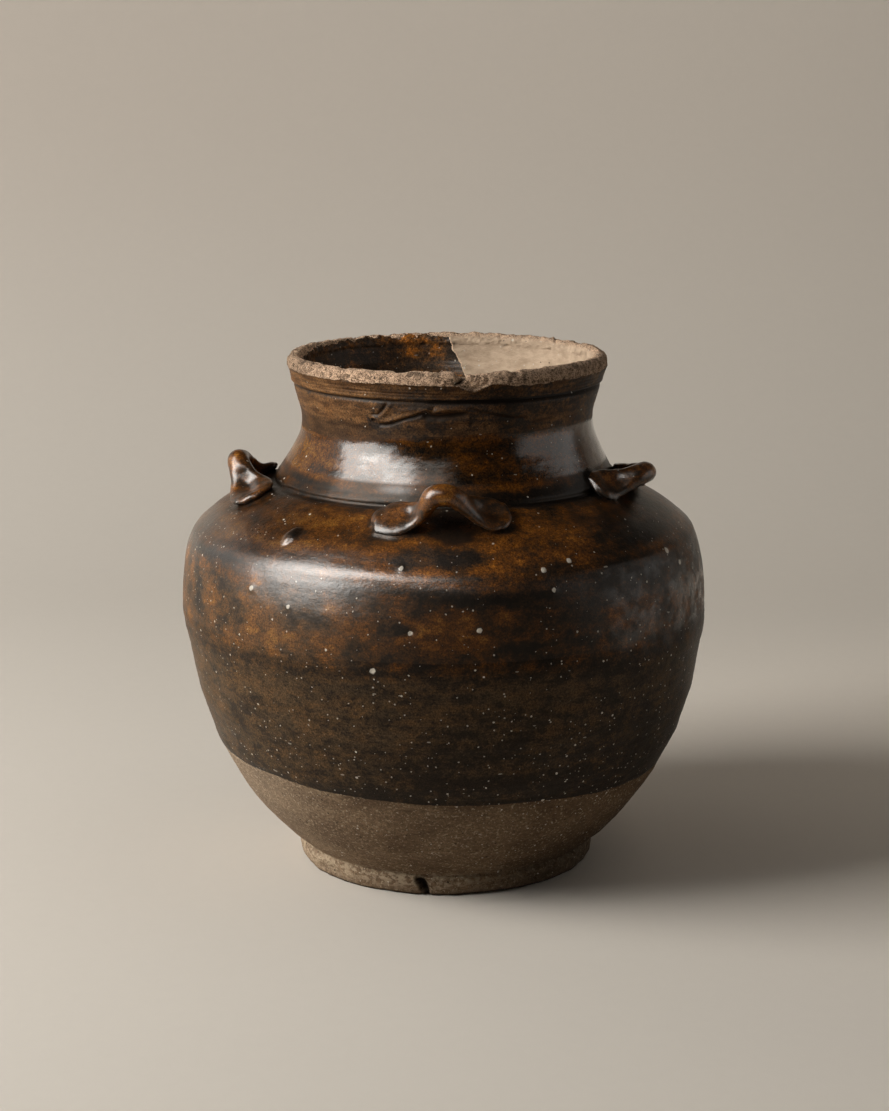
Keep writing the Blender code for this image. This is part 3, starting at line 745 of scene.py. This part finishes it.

# Painted shade in hollows and under things: in cracks, pits, the notch and the slot under the rim, a painted
# shadow along the foot where it meets the floor, and under the lugs, over dark glaze pooled there

slot_painted_shade = by_angle([
    (-180, 0.7), (-26, 0.75), (-20, 0.4), (-8, 0.4), (-3, 1.0), (66, 1.0), (85, 0.7), (180, 0.7),
])
back_lip_paler = 1.0 - 0.75 * step(np.abs(grid_angle), 75.0, 110.0)
pool_mottle = 1.0 + 0.3 * noise(base, 3.0, 88)
DARK_LINES = (  # points, half width, strength
    (CRACK[1:], 0.75, 0.9), (FOLD, 0.6, 0.7), (HOLLOW, 1.8, 1.0), (RIGHT_CREASE, 0.6, 0.55),
    (SLASH, 0.8, 1.0),
)
DARK_PITS = ((9.1, 185.8, 0.8), (14.3, 185.0, 0.6), (33.7, 185.0, 0.6))
# Under the lugs: pooled dark glaze, with the shade under each lug painted over it
LUG_SHADE_AND_POOLS = ((2.0, 149.3, 10.5, 3.0), (1.5, 153.2, 8.5, 3.2), (73.0, 151.2, 8.5, 3.0))
painted_shade_and_pools = np.max([
    slot_painted_shade * np.exp(-(((grid_z - groove_z) / (1.1 * groove_half)) ** 4)) * outside,
    np.sqrt(notch),
    0.85 * step(grid_z, 1.5, 0.6) * outside,
    0.6 * lip_pits * np.where(chip > 0.3, 0.3, 1.0) * back_lip_paler,
    *(strength * crease(points, half) for points, half, strength in DARK_LINES),
    *(0.9 * lump(angle, height, half, half) for angle, height, half in DARK_PITS),
    *(1.5 * lump(*pool) * pool_mottle for pool in LUG_SHADE_AND_POOLS),
], axis=0)

# Painted light and shade: a factor on the colour, round the jar and from one height to the next

shade = by_angle([
    (-180, 0.9), (-120, 1.05), (-75, 1.1), (-45, 1.0), (-20, 0.8), (0, 0.7), (35, 0.7), (65, 0.72),
    (110, 0.85), (180, 0.9),
])
TONES = [  # the heights between which a tone of painted light and shade takes over from the one below it, and the tone
    (48.5, 50.5, [(-180, 1.1), (-75, 1.22), (-30, 1.22), (5, 1.3), (40, 1.15), (180, 1.1)]),
    (101.0, 107.0, [(-180, 0.9), (-60, 1.02), (-30, 0.95), (-5, 0.64), (15, 0.68), (35, 0.92), (180, 0.9)]),
    (129.0, 137.0, [
        (-180, 0.8), (-75, 0.3), (-45, 0.31), (-20, 0.85), (0, 1.9), (25, 1.4), (45, 0.85), (65, 0.7),
        (180, 0.8),
    ]),
    (154.0, 160.0, [
        (-180, 0.8), (-75, 0.42), (-45, 0.44), (-15, 0.68), (0, 0.85), (30, 1.15), (65, 1.05), (180, 0.8),
    ]),
    (183.0, 186.0, [(-180, 1.0), (-45, 1.0), (-20, 1.3), (10, 1.55), (35, 1.25), (70, 1.05), (180, 1.0)]),
    (194.0, 196.0, [(-180, 1.0), (180, 1.0)]),
    (199.8, 200.6, [
        (-180, 0.6), (-90, 0.5), (-60, 0.55), (-32, 1.05), (0, 1.3), (20, 1.05), (50, 0.85), (90, 0.8),
        (180, 0.6),
    ]),
]
below = 1.0
for low, high, table in TONES:
    tone = by_angle(table)
    shade *= faded(tone / below, step(grid_z, low, high))
    below = tone
# Painted shade at the right, deepening down to the foot
low_right_painted_shade = window(grid_angle, 5.0, 45.0, 120.0, 170.0) * step(grid_z, 42.0, 8.0)
shade *= 1.0 - 0.46 * low_right_painted_shade * outside
BARE_TONE = [(-180, 1.0), (-150, 1.1), (-60, 1.15), (0, 1.0), (60, 0.92), (150, 0.92), (180, 1.0)]
INNER_GLAZE_TONE = 3.9
inner_shade = by_angle(BARE_TONE)
inner_shade += (INNER_GLAZE_TONE - inner_shade) * step(glaze_edge, -0.3, 0.3)
shade = np.where(inside, inner_shade, shade)

fields = {
    "warmth": np.clip(warmth, 0.0, 1.0),
    "glaze_edge": np.clip(glaze_edge, -30.0, 30.0),
    "gloss": np.clip(gloss, 0.0, 1.0),
    "coat": np.clip(coat, 0.0, 1.0),
    "specks": np.clip(specks, 0.0, 1.0),
    "cream": cream,
    "grit": bead_tops,
    "painted_shade_and_pools": np.clip(painted_shade_and_pools, 0.0, 1.0),
    "shade": shade,
}


# Materials


class Graph:
    """Builds a material's nodes. Sockets, numbers and colours all work as inputs."""

    def __init__(self, name):
        self.material = bpy.data.materials.new(name)
        self.material.use_nodes = True
        self.tree = self.material.node_tree
        self.shader = self.tree.nodes["Principled BSDF"]
        self.place = self.tree.nodes.new("ShaderNodeTexCoord").outputs["Object"]

    def put(self, socket, value):
        if isinstance(value, bpy.types.NodeSocket):
            self.tree.links.new(value, socket)
        elif hasattr(socket.default_value, "__len__") and len(socket.default_value) == 4:
            socket.default_value = (*value, 1.0)
        else:
            socket.default_value = value

    def finish(self, **values):
        """Sets the shader's inputs, which are named with _ for a space."""
        for key, value in values.items():
            self.put(self.shader.inputs[key.replace("_", " ")], value)

    def made(self, kind, inputs, **settings):
        made = self.tree.nodes.new(kind)
        for key, value in settings.items():
            setattr(made, key, value)
        for key, value in inputs.items():
            self.put(made.inputs[key], value)
        return made.outputs

    def node(self, kind, inputs, output=0, **settings):
        return self.made(kind, inputs, **settings)[output]

    def axis(self, number):
        """The place along X, Y or Z, in metres."""
        return self.node("ShaderNodeSeparateXYZ", {"Vector": self.place}, number)

    def math(self, operation, *values, clamp=False):
        return self.node("ShaderNodeMath", dict(enumerate(values)), operation=operation, use_clamp=clamp)

    def plus(self, a, b, clamp=False):
        return self.math("ADD", a, b, clamp=clamp)

    def times(self, a, b):
        return self.math("MULTIPLY", a, b)

    def most(self, a, b, clamp=False):
        return self.math("MAXIMUM", a, b, clamp=clamp)

    def field(self, name):
        return self.node("ShaderNodeAttribute", {}, "Fac", attribute_name=name)

    def stretched(self, scale):
        """The place in mm, with each axis divided by a size in mm."""
        inputs = {"Vector": self.place, "Scale": [1000.0 / s for s in scale]}
        return self.node("ShaderNodeMapping", inputs, vector_type="POINT")

    def noise(self, scale, detail=3.0, roughness=0.55):
        """Noise of 0 to 1, whose lumps are about scale mm across: one number or three."""
        scale = scale if isinstance(scale, tuple) else (scale,) * 3
        inputs = {"Vector": self.stretched(scale), "Scale": 1.0, "Detail": detail, "Roughness": roughness}
        return self.node("ShaderNodeTexNoise", inputs, "Fac")

    def span(self, value, low, high, to_low=0.0, to_high=1.0, smooth=True):
        inputs = {"Value": value, "From Min": low, "From Max": high, "To Min": to_low, "To Max": to_high}
        kind = "SMOOTHSTEP" if smooth else "LINEAR"
        return self.node("ShaderNodeMapRange", inputs, interpolation_type=kind)

    def level(self, value, low, high, to_low, to_high):
        return self.span(value, low, high, to_low, to_high, smooth=False)

    def mix(self, share, a, b, blend="MIX"):
        return self.node("ShaderNodeMix", {0: share, 6: a, 7: b}, 2, data_type="RGBA", blend_type=blend)

    def mix_numbers(self, share, a, b):
        return self.node("ShaderNodeMix", {0: share, 2: a, 3: b}, 0, data_type="FLOAT")

    def ramp(self, value, stops):
        made = self.tree.nodes.new("ShaderNodeValToRGB")
        self.put(made.inputs[0], value)
        while len(made.color_ramp.elements) < len(stops):
            made.color_ramp.elements.new(0.5)
        for element, (position, colour) in zip(made.color_ramp.elements, stops):
            element.position = position
            element.color = (*colour, 1.0)
        return made.outputs[0]

    def spots(self, cell, radius, keep, flat=1.0):
        """1 inside uneven spots about radius mm across, in a share of the cells. Flat ones are dashes."""
        wobble_inputs = {"Vector": self.stretched((radius * 1.6,) * 3), "Scale": 1.0, "Detail": 1.0}
        wobble = self.node("ShaderNodeTexNoise", wobble_inputs, "Color")
        push_inputs = {0: wobble, "Scale": 1.1 * radius / cell}
        push = self.node("ShaderNodeVectorMath", push_inputs, operation="SCALE")
        cells = self.stretched((cell, cell, cell / flat))
        place = self.node("ShaderNodeVectorMath", {0: cells, 1: push}, operation="ADD")
        spot = self.made("ShaderNodeTexVoronoi", {"Vector": place, "Scale": 1.0, "Randomness": 1.0})
        pick, own_size = (self.node("ShaderNodeSeparateColor", {"Color": spot["Color"]}, k) for k in (0, 1))
        size = self.level(own_size, 0.0, 1.0, 0.35 * radius / cell, radius / cell)
        near = self.math("LESS_THAN", spot["Distance"], size)
        return self.times(near, self.math("LESS_THAN", pick, keep))


GLAZE_BLACK = (0.0075, 0.0052, 0.0036)
GLAZE_STOPS = [
    (0.0, GLAZE_BLACK),
    (0.2, (0.02, 0.0105, 0.005)),
    (0.4, (0.05, 0.02, 0.005)),
    (0.6, (0.102, 0.034, 0.0045)),
    (0.8, (0.178, 0.061, 0.007)),
    (1.0, (0.27, 0.112, 0.016)),
]
LOW_BLACK, LOW_OLIVE, LOW_BROWN = (0.0165, 0.0113, 0.0075), (0.05, 0.034, 0.0185), (0.068, 0.0385, 0.0165)
DULL_BLACK, DULL_BROWN, DULL_TAN = (0.022, 0.015, 0.011), (0.045, 0.019, 0.006), (0.14, 0.068, 0.025)
CLAY, CLAY_DARK, CLAY_PALE = (0.25, 0.168, 0.1), (0.135, 0.084, 0.048), (0.42, 0.33, 0.225)
CLAY_GREY, CLAY_BROWN, CLAY_PORE = (0.33, 0.256, 0.185), (0.11, 0.062, 0.028), (0.03, 0.02, 0.012)
LIP_TAN, LIP_DARK = (0.76, 0.52, 0.345), (0.085, 0.05, 0.03)
CREAM, CREAM_DARK = (0.57, 0.43, 0.305), (0.39, 0.285, 0.195)
PAINTED_SHADE_BLACK, PIT, SPECK = (0.008, 0.0055, 0.004), (0.01, 0.008, 0.006), (0.55, 0.5, 0.42)
SPECULAR_TINT = (1.0, 0.86, 0.72)
PAPER_FRONT, PAPER_BACK = (0.54, 0.498, 0.44), (0.49, 0.438, 0.38)
PAPER_RIGHT, PAINTED_LIGHT_IN_SHADOW, SHADOW_PLACE = (0.95, 0.87, 0.76), (0.9, 0.8, 0.68), (0.24, 0.1, 0.0)


def glaze_colour(g, fine, side, height):
    """Black to amber by warmth, greyer low on the belly and duller where it is thin, with a painted sheen
    that greys the left of the belly under the shoulder.
    """
    mottle, streaks = g.noise((7.0, 7.0, 4.5), 4.0, 0.62), g.noise((30.0, 30.0, 1.6), 3.0, 0.6)
    veins = g.noise((2.0, 2.0, 1.7), 4.0, 0.7)
    amount = g.plus(g.field("warmth"), g.level(mottle, 0.28, 0.72, -0.25, 0.25))
    amount = g.plus(amount, g.level(streaks, 0.3, 0.7, -0.09, 0.09))
    amount = g.plus(amount, g.level(veins, 0.34, 0.66, -0.17, 0.17))
    amount = g.plus(amount, g.level(fine, 0.34, 0.66, -0.13, 0.13), clamp=True)
    glaze = g.ramp(amount, GLAZE_STOPS)
    # Painted sheen: greyer at the left of the belly, just under the shoulder
    painted_sheen_left = g.times(g.span(height, 0.136, 0.122, 0.0, 0.62), g.span(side, -0.01, -0.06, 0.1, 1.0))
    low = g.most(g.span(height, 0.104, 0.096), painted_sheen_left)
    low_tint = g.mix(g.span(g.noise((14.0, 14.0, 5.0)), 0.35, 0.7), LOW_OLIVE, LOW_BROWN)
    glaze = g.mix(g.times(low, 0.8), glaze, g.mix(g.span(amount, 0.0, 0.46), LOW_BLACK, low_tint))
    thin = g.times(g.span(g.field("gloss"), 0.34, 0.2), g.span(height, 0.165, 0.172))
    dull = g.mix(g.span(g.noise((9.0, 9.0, 2.2), 4.0), 0.3, 0.7), DULL_BROWN, DULL_TAN)
    return g.mix(thin, glaze, g.mix(g.span(amount, 0.05, 0.35), DULL_BLACK, dull))


def clay_colour(g, grains, side, height):
    """Bare clay: grey at the left, brown at the right, pale on the foot, tan on the lip, cream inside."""
    clay = g.mix(g.span(g.noise((24.0, 24.0, 12.0), 5.0, 0.65), 0.35, 0.65), CLAY_DARK, CLAY)
    clay = g.mix(g.span(side, -0.02, -0.085, 0.0, 0.6), clay, CLAY_GREY)
    clay = g.mix(g.span(side, -0.02, 0.07, 0.0, 0.45), clay, CLAY_BROWN)
    clay = g.mix(g.span(grains, 0.38, 0.6, 0.62, 0.0), clay, g.mix(0.6, CLAY_DARK, CLAY_PORE))
    mottle = g.level(g.noise((1.6, 1.6, 1.2), 3.0, 0.7), 0.3, 0.7, 0.66, 1.36)
    clay = g.mix(1.0, clay, mottle, "MULTIPLY")
    clay = g.mix(g.times(g.span(g.noise(1.1, 2.0), 0.58, 0.68), 0.7), clay, CLAY_PALE)
    foot = g.times(g.span(height, 0.0102, 0.0088), g.span(g.noise((3.2, 3.2, 1.8), 4.0, 0.7), 0.43, 0.58))
    foot = g.times(foot, g.span(height, 0.001, 0.0075, 0.25, 1.0))
    foot = g.times(foot, g.span(side, 0.03, -0.01, 0.25, 0.72))
    clay = g.mix(foot, clay, CLAY_PALE)
    sand = g.span(g.noise(0.5, 3.0, 0.8), 0.4, 0.58, 0.0, 0.8)
    tan = g.plus(sand, g.level(g.noise(2.4, 3.0, 0.7), 0.3, 0.7, -0.25, 0.35), clamp=True)
    clay = g.mix(g.span(height, 0.1975, 0.2005), clay, g.mix(tan, LIP_DARK, LIP_TAN))
    cream = g.mix(g.span(g.noise((7.0, 7.0, 3.0), 5.0, 0.65), 0.3, 0.7), CREAM_DARK, CREAM)
    return g.mix(g.field("cream"), clay, cream)


def speck_share(g):
    """1 on a pale speck: tiny, small and large ones, dashes, and the tops of the beads."""
    density = g.field("specks")
    tiny = g.times(g.spots(1.9, 0.36, g.times(density, 0.7)), 0.75)
    small = g.spots(3.4, 0.52, g.times(density, 0.6))
    large = g.spots(9.0, 0.66, g.times(density, 0.1))
    dashes = g.times(g.spots(6.5, 1.0, g.times(density, 0.2), 3.0), 0.5)
    speck = g.most(g.most(tiny, g.most(small, large)), dashes)
    return g.most(speck, g.span(g.field("grit"), 0.35, 0.6))


def jar_material(name, specular, coat_roughness):
    """Glaze over clay, with specks, by the fields that each piece carries."""
    g = Graph(name)
    edge, gloss, side, height = g.field("glaze_edge"), g.field("gloss"), g.axis(0), g.axis(2)
    fine, grains = g.noise((0.9, 0.9, 0.8), 4.0, 0.75), g.noise(0.6, 3.0, 0.8)
    glaze, clay = glaze_colour(g, fine, side, height), clay_colour(g, grains, side, height)

    ragged = g.plus(edge, g.level(g.noise(1.6, 2.0), 0.2, 0.8, -0.35, 0.35))
    glazed = g.span(ragged, -0.12, 0.12)
    pooled = g.times(g.span(edge, 3.5, 0.6), g.span(height, 0.08, 0.06))
    pooled = g.times(pooled, g.span(side, -0.075, -0.01, 0.25, 1.0))
    glaze = g.mix(g.times(pooled, 0.25), glaze, GLAZE_BLACK)
    glaze = g.mix(1.0, glaze, g.level(g.noise(0.62, 3.0, 0.75), 0.34, 0.66, 0.34, 1.78), "MULTIPLY")
    # The shade field is painted light and shade, multiplied into the colour
    colour = g.mix(1.0, g.mix(glazed, clay, glaze), g.field("shade"), "MULTIPLY")
    # Painted shade in hollows and under the lugs, where dark glaze also pools
    colour = g.mix(g.times(g.field("painted_shade_and_pools"), 0.96), colour, PAINTED_SHADE_BLACK)
    speck = speck_share(g)
    colour = g.mix(g.times(g.spots(3.0, 0.5, 0.32), 0.75), colour, PIT)
    colour = g.mix(g.times(speck, 0.85), colour, SPECK)

    glaze_rough = g.plus(g.level(gloss, 0.1, 1.0, 0.6, 0.16), g.level(fine, 0.3, 0.7, -0.05, 0.07))
    rough = g.mix_numbers(glazed, g.level(grains, 0.3, 0.7, 0.72, 0.92), glaze_rough)
    skin = g.plus(g.times(g.noise((2.6, 2.6, 1.5), 3.0, 0.6), 0.45), g.times(fine, 0.32))
    skin = g.times(g.plus(skin, g.times(speck, 0.3)), g.span(height, 0.156, 0.162, 1.0, 0.6))
    grit = g.plus(g.times(grains, 1.6), g.times(g.noise((1.8, 1.8, 1.4)), 1.2))
    relief = {"Height": g.mix_numbers(glazed, grit, skin), "Distance": 0.00022, "Strength": 1.0}
    bumped = g.node("ShaderNodeBump", relief)
    g.finish(
        Base_Color=colour, Roughness=g.most(rough, g.times(speck, 0.6), clamp=True), Normal=bumped,
        Specular_IOR_Level=specular, Specular_Tint=SPECULAR_TINT, Coat_Normal=bumped, Coat_IOR=1.5,
        Coat_Weight=g.times(glazed, g.field("coat")), Coat_Roughness=coat_roughness,
    )
    return g.material


def paper_material(name):
    """Paper whose colour shifts a little up the sweep and towards the right, with painted light where the
    jar's shadow falls.
    """
    g = Graph(name)
    colour = g.mix(g.span(g.axis(2), 0.0, 0.3), PAPER_FRONT, PAPER_BACK)
    colour = g.mix(g.span(g.axis(0), -0.35, 0.35, 0.0, 0.22), colour, PAPER_RIGHT)
    # Painted light: the paper is lighter round the place where the jar's shadow falls
    away = g.node("ShaderNodeVectorMath", {0: g.place, 1: SHADOW_PLACE}, "Value", operation="DISTANCE")
    colour = g.mix(g.span(away, 0.32, 0.05, 0.0, 0.3), colour, PAINTED_LIGHT_IN_SHADOW)
    colour = g.mix(g.times(g.noise(6.0), 0.03), colour, (0.0, 0.0, 0.0))
    g.finish(Base_Color=colour, Roughness=0.9, Specular_IOR_Level=0.2)
    return g.material


# Meshes

grid = placed.reshape(rows_count, COLUMNS, 3)
up_rows = np.gradient(grid, axis=0)
round_columns = np.roll(grid, -1, axis=1) - np.roll(grid, 1, axis=1)
grid_normals = np.cross(round_columns, up_rows)
grid_normals /= np.maximum(np.linalg.norm(grid_normals, axis=2), 1e-9)[:, :, None]
grid_fields = {key: field.reshape(rows_count, COLUMNS) for key, field in fields.items()}
# How deep each seam drops into the piece below, and half the gap between the two pieces there
SEAM_DROP, SEAM_GAP = 1.5, 0.18


def linked(obj):
    bpy.context.scene.collection.objects.link(obj)
    return obj


def build_piece(name, node, slot, points, faces, values, normals=None):
    """One visible piece: a closed mesh with its fields, for a node of the solids."""
    mesh = bpy.data.meshes.new(name)
    sizes = np.array([len(f) for f in faces], np.int32)
    mesh.vertices.add(len(points))
    mesh.vertices.foreach_set("co", (points * MM).astype(np.float32).ravel())
    mesh.loops.add(int(sizes.sum()))
    mesh.loops.foreach_set("vertex_index", np.concatenate(faces).astype(np.int32))
    mesh.polygons.add(len(sizes))
    mesh.polygons.foreach_set("loop_start", (np.cumsum(sizes) - sizes).astype(np.int32))
    mesh.polygons.foreach_set("loop_total", sizes)
    mesh.update(calc_edges=True)
    mesh.validate()
    mesh.shade_smooth()
    for key, value in values.items():
        made = mesh.attributes.new(key, "FLOAT", "POINT")
        made.data.foreach_set("value", value.astype(np.float32))
    if normals is not None:
        mesh.normals_split_custom_set_from_vertices([tuple(n) for n in normals])
    mesh.materials.append(stoneware[slot])
    obj = linked(bpy.data.objects.new(name, mesh))
    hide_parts(node)
    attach(obj, "root")


def seam_ring(outer_row, inner_row, gap):
    """A ring in the middle of a seam, dropped into the lower piece."""
    middle = (grid[outer_row] + grid[inner_row]) / 2
    around = np.roll(middle, -1, axis=0) - np.roll(middle, 1, axis=0)
    down = np.cross(around, grid[inner_row] - grid[outer_row])
    down /= np.linalg.norm(down, axis=1)[:, None]
    if down[:, 2].mean() > 0:
        down = -down
    return middle + down * (SEAM_DROP - gap)


def strip(low_rows, high_rows):
    """The four-sided faces between rings of COLUMNS points."""
    low, high = low_rows[:, None] * COLUMNS, high_rows[:, None] * COLUMNS
    here = np.arange(COLUMNS)
    beside = (here + 1) % COLUMNS
    return np.stack([low + here, low + beside, high + beside, high + here], axis=-1).reshape(-1, 4)


def wall_piece(name, node, slot, outer, top_seam, inner, bottom_seam):
    """A turned piece: its outer rows, a ring in the seam above, its inner rows, a ring in the seam below.

    The rim's rows run over its top, so it has no seam above and no inner rows. The foot has no seam
    below: its rows end near the axis, where a fan closes each end."""
    rings, rows = [], []
    for span, seam, gap in ((outer, top_seam, -SEAM_GAP), (inner, bottom_seam, SEAM_GAP)):
        if span:
            picks = np.arange(span[0], span[1] + 1)
            rings.extend(grid[picks])
            rows.extend(picks)
        if seam:
            rings.append(seam_ring(*seam, gap))
            rows.append(seam[0])
    normals = grid_normals[rows].reshape(-1, 3)
    values = {key: field[rows].ravel() for key, field in grid_fields.items()}
    points = np.concatenate(rings)
    ring_rows = np.arange(len(rings))
    if bottom_seam:
        faces = strip(ring_rows, np.roll(ring_rows, -1))
    else:
        faces = strip(ring_rows[:-1], ring_rows[1:]).tolist()
        for ring, up in ((0, -1.0), (len(rings) - 1, 1.0)):
            middle = len(points)
            points = np.vstack([points, rings[ring].mean(0)])
            normals = np.vstack([normals, [0.0, 0.0, up]])
            values = {key: np.append(value, value[ring * COLUMNS]) for key, value in values.items()}
            for a, b in in_a_ring(ring * COLUMNS, COLUMNS):
                faces.append((a, middle, b) if up < 0 else (a, b, middle))
    build_piece(name, node, slot, points, faces, values, normals)


# The nine pieces: five turned ones cut from the grid, and four lugs

FINISHES = {  # specular level, coat roughness
    "foot_clay": (0.1, 0.3),
    "belly_glaze": (0.1, 0.3),
    "shoulder_glaze": (0.18, 0.23),
    "neck_glaze": (0.12, 0.08),
    "rim_clay": (0.1, 0.2),
    "lug_glaze": (0.16, 0.22),
}
stoneware = {slot: jar_material(slot, *finish) for slot, finish in FINISHES.items()}


def seam(part):
    """The rows that meet at the top of a part: its last one outside and its first one inside."""
    return spans[part + "_out"][1], spans[part + "_in"][0]


for name, node, slot, part, part_below in (
    ("foot_slab", "base_slab", "foot_clay", "slab", None),
    ("lower_wall", "lower_body", "belly_glaze", "lower", "slab"),
    ("upper_wall", "upper_body", "shoulder_glaze", "upper", "lower"),
    ("neck_wall", "neck", "neck_glaze", "neck", "upper"),
):
    bottom_seam = seam(part_below) if part_below else None
    wall_piece(name, node, slot, spans[part + "_out"], seam(part), spans[part + "_in"], bottom_seam)
wall_piece("rim_lip", "rim_band", "rim_clay", spans["rim"], None, None, seam("neck"))

LUG_LOOKS = {
    "glaze_edge": 20.0, "gloss": 0.6, "coat": 0.72, "specks": 0.12,
    "cream": 0.0, "grit": 0.0, "painted_shade_and_pools": 0.0, "shade": 0.86,
}
for name, (points, faces) in lug_data.items():
    radius, seat_z, (normal_out, normal_up) = lug_seat(name)
    reach = np.linalg.norm(points[:, :2], axis=1)
    height = reach * normal_out + points[:, 2] * normal_up - (radius * normal_out + seat_z * normal_up)
    mottle = layered(points, (6.0, 6.0, 5.0), 90 + list(LUGS).index(name), 3)
    tone = 0.39 + 0.018 * height + 0.24 * mottle - 0.3 * step(height, 1.8, 0.2)
    values = {"warmth": np.clip(tone, 0.05, 0.9)}
    values.update((key, np.full(len(points), value)) for key, value in LUG_LOOKS.items())
    build_piece(name.replace("lug_", "coil_lug_"), name, "lug_glaze", points, faces, values)

# Floor: a sheet of paper that sweeps up behind the jar. From here on, sizes are in metres

SWEEP_START, SWEEP_RADIUS, SWEEP_TOP, SWEEP_FRONT, SWEEP_HALF = 0.42, 0.55, 0.75, -2.4, 2.6
SWEEP_STEPS = 24
sweep_line = [(SWEEP_FRONT, 0.0), (-0.6, 0.0), (0.0, 0.0), (SWEEP_START, 0.0)]
for index in range(1, SWEEP_STEPS + 1):
    turn = math.radians(90.0 * index / SWEEP_STEPS)
    sweep_line.append((SWEEP_START + SWEEP_RADIUS * math.sin(turn), SWEEP_RADIUS * (1.0 - math.cos(turn))))
sweep_line.append((SWEEP_START + SWEEP_RADIUS, SWEEP_TOP))
sweep_points = [(side * SWEEP_HALF, y, z) for y, z in sweep_line for side in (-1.0, 1.0)]
sweep_faces = [(i, i + 1, i + 3, i + 2) for i in range(0, len(sweep_points) - 2, 2)]
sweep_mesh = bpy.data.meshes.new("paper_sweep")
sweep_mesh.from_pydata(sweep_points, [], sweep_faces)
sweep_mesh.shade_smooth()
sweep_mesh.materials.append(paper_material("pale_paper"))
sweep = linked(bpy.data.objects.new("paper_sweep", sweep_mesh))

# Lights: some only light surfaces, and the others are only mirrored in the glaze

AIM = Vector((0.0, 0.0, 0.12))
KEY_WHITE, WARM_WHITE, STUDIO_WHITE = (1.0, 0.985, 0.96), (1.0, 0.95, 0.89), (1.0, 0.88, 0.74)
LAMPS = [  # name, azimuth, elevation, distance, width, height, radiance, colour, mirrored or lighting
    ("key_box", -74.0, 28.5, 1.25, 0.74, 0.72, 14.0, KEY_WHITE, False),
    ("key_glow", -70.0, 33.0, 1.25, 0.78, 1.15, 12.0, KEY_WHITE, True),
    ("key_edge", -47.5, 33.0, 1.25, 0.22, 1.15, 10.0, KEY_WHITE, True),
    ("key_wing", -37.5, 45.0, 1.25, 0.22, 0.5, 9.0, KEY_WHITE, True),
    ("key_tail", -20.0, 48.0, 1.25, 0.6, 0.3, 7.0, KEY_WHITE, True),
    ("key_core", -64.0, 32.0, 1.2, 0.3, 0.12, 20.0, KEY_WHITE, True),
    ("left_fill", -124.0, 32.0, 1.5, 1.0, 0.7, 0.9, WARM_WHITE, False),
    ("left_glow", -113.0, 18.0, 1.5, 1.7, 0.8, 1.0, WARM_WHITE, True),
    ("high_fill", 95.0, 62.0, 1.5, 0.9, 0.9, 0.56, WARM_WHITE, False),
    ("side_panel", 84.5, 11.0, 1.4, 1.46, 0.7, 0.76, KEY_WHITE, False),
    ("side_glow", 84.5, 10.0, 1.4, 1.46, 1.0, 0.76, KEY_WHITE, True),
]
for name, azimuth, elevation, distance, width, height, radiance, colour, mirrored in LAMPS:
    lamp = bpy.data.lights.new(name, "AREA")
    lamp.shape = "RECTANGLE"
    lamp.size, lamp.size_y = width, height
    lamp.energy = radiance * math.pi * width * height
    lamp.color = colour
    obj = linked(bpy.data.objects.new(name, lamp))
    turn, climb = math.radians(azimuth), math.radians(elevation)
    towards = Vector((math.sin(turn) * math.cos(climb), -math.cos(turn) * math.cos(climb), math.sin(climb)))
    obj.location = AIM + towards * distance
    obj.rotation_euler = (-towards).to_track_quat("-Z", "Y").to_euler()
    obj.visible_glossy, obj.visible_diffuse = mirrored, not mirrored

STUDIO_STRENGTH = 0.034
world = bpy.data.worlds.new("studio_dark")
bpy.context.scene.world = world
world.use_nodes = True
studio = world.node_tree.nodes["Background"].inputs
studio["Color"].default_value = (*STUDIO_WHITE, 1.0)
studio["Strength"].default_value = STUDIO_STRENGTH
bpy.context.scene.view_settings.view_transform = "Standard"

# The photograph's camera: worked out from the rim, groove, neck and foot circles

PHOTO_HEIGHT_PX, FOCAL_PX, LOOK_DOWN = 1111, 2268.0, 12.59
camera_data = bpy.data.cameras.new("photo_camera")
camera_data.sensor_width = 36.0
camera_data.sensor_fit = "AUTO"
camera_data.lens = FOCAL_PX * camera_data.sensor_width / PHOTO_HEIGHT_PX
camera_data.clip_start, camera_data.clip_end = 0.05, 20.0
camera = linked(bpy.data.objects.new("photo_camera", camera_data))
camera.location = (-0.0008, -0.8926, 0.3221)
camera.rotation_euler = (math.radians(90.0 - LOOK_DOWN), 0.0, 0.0)
bpy.context.scene.camera = camera
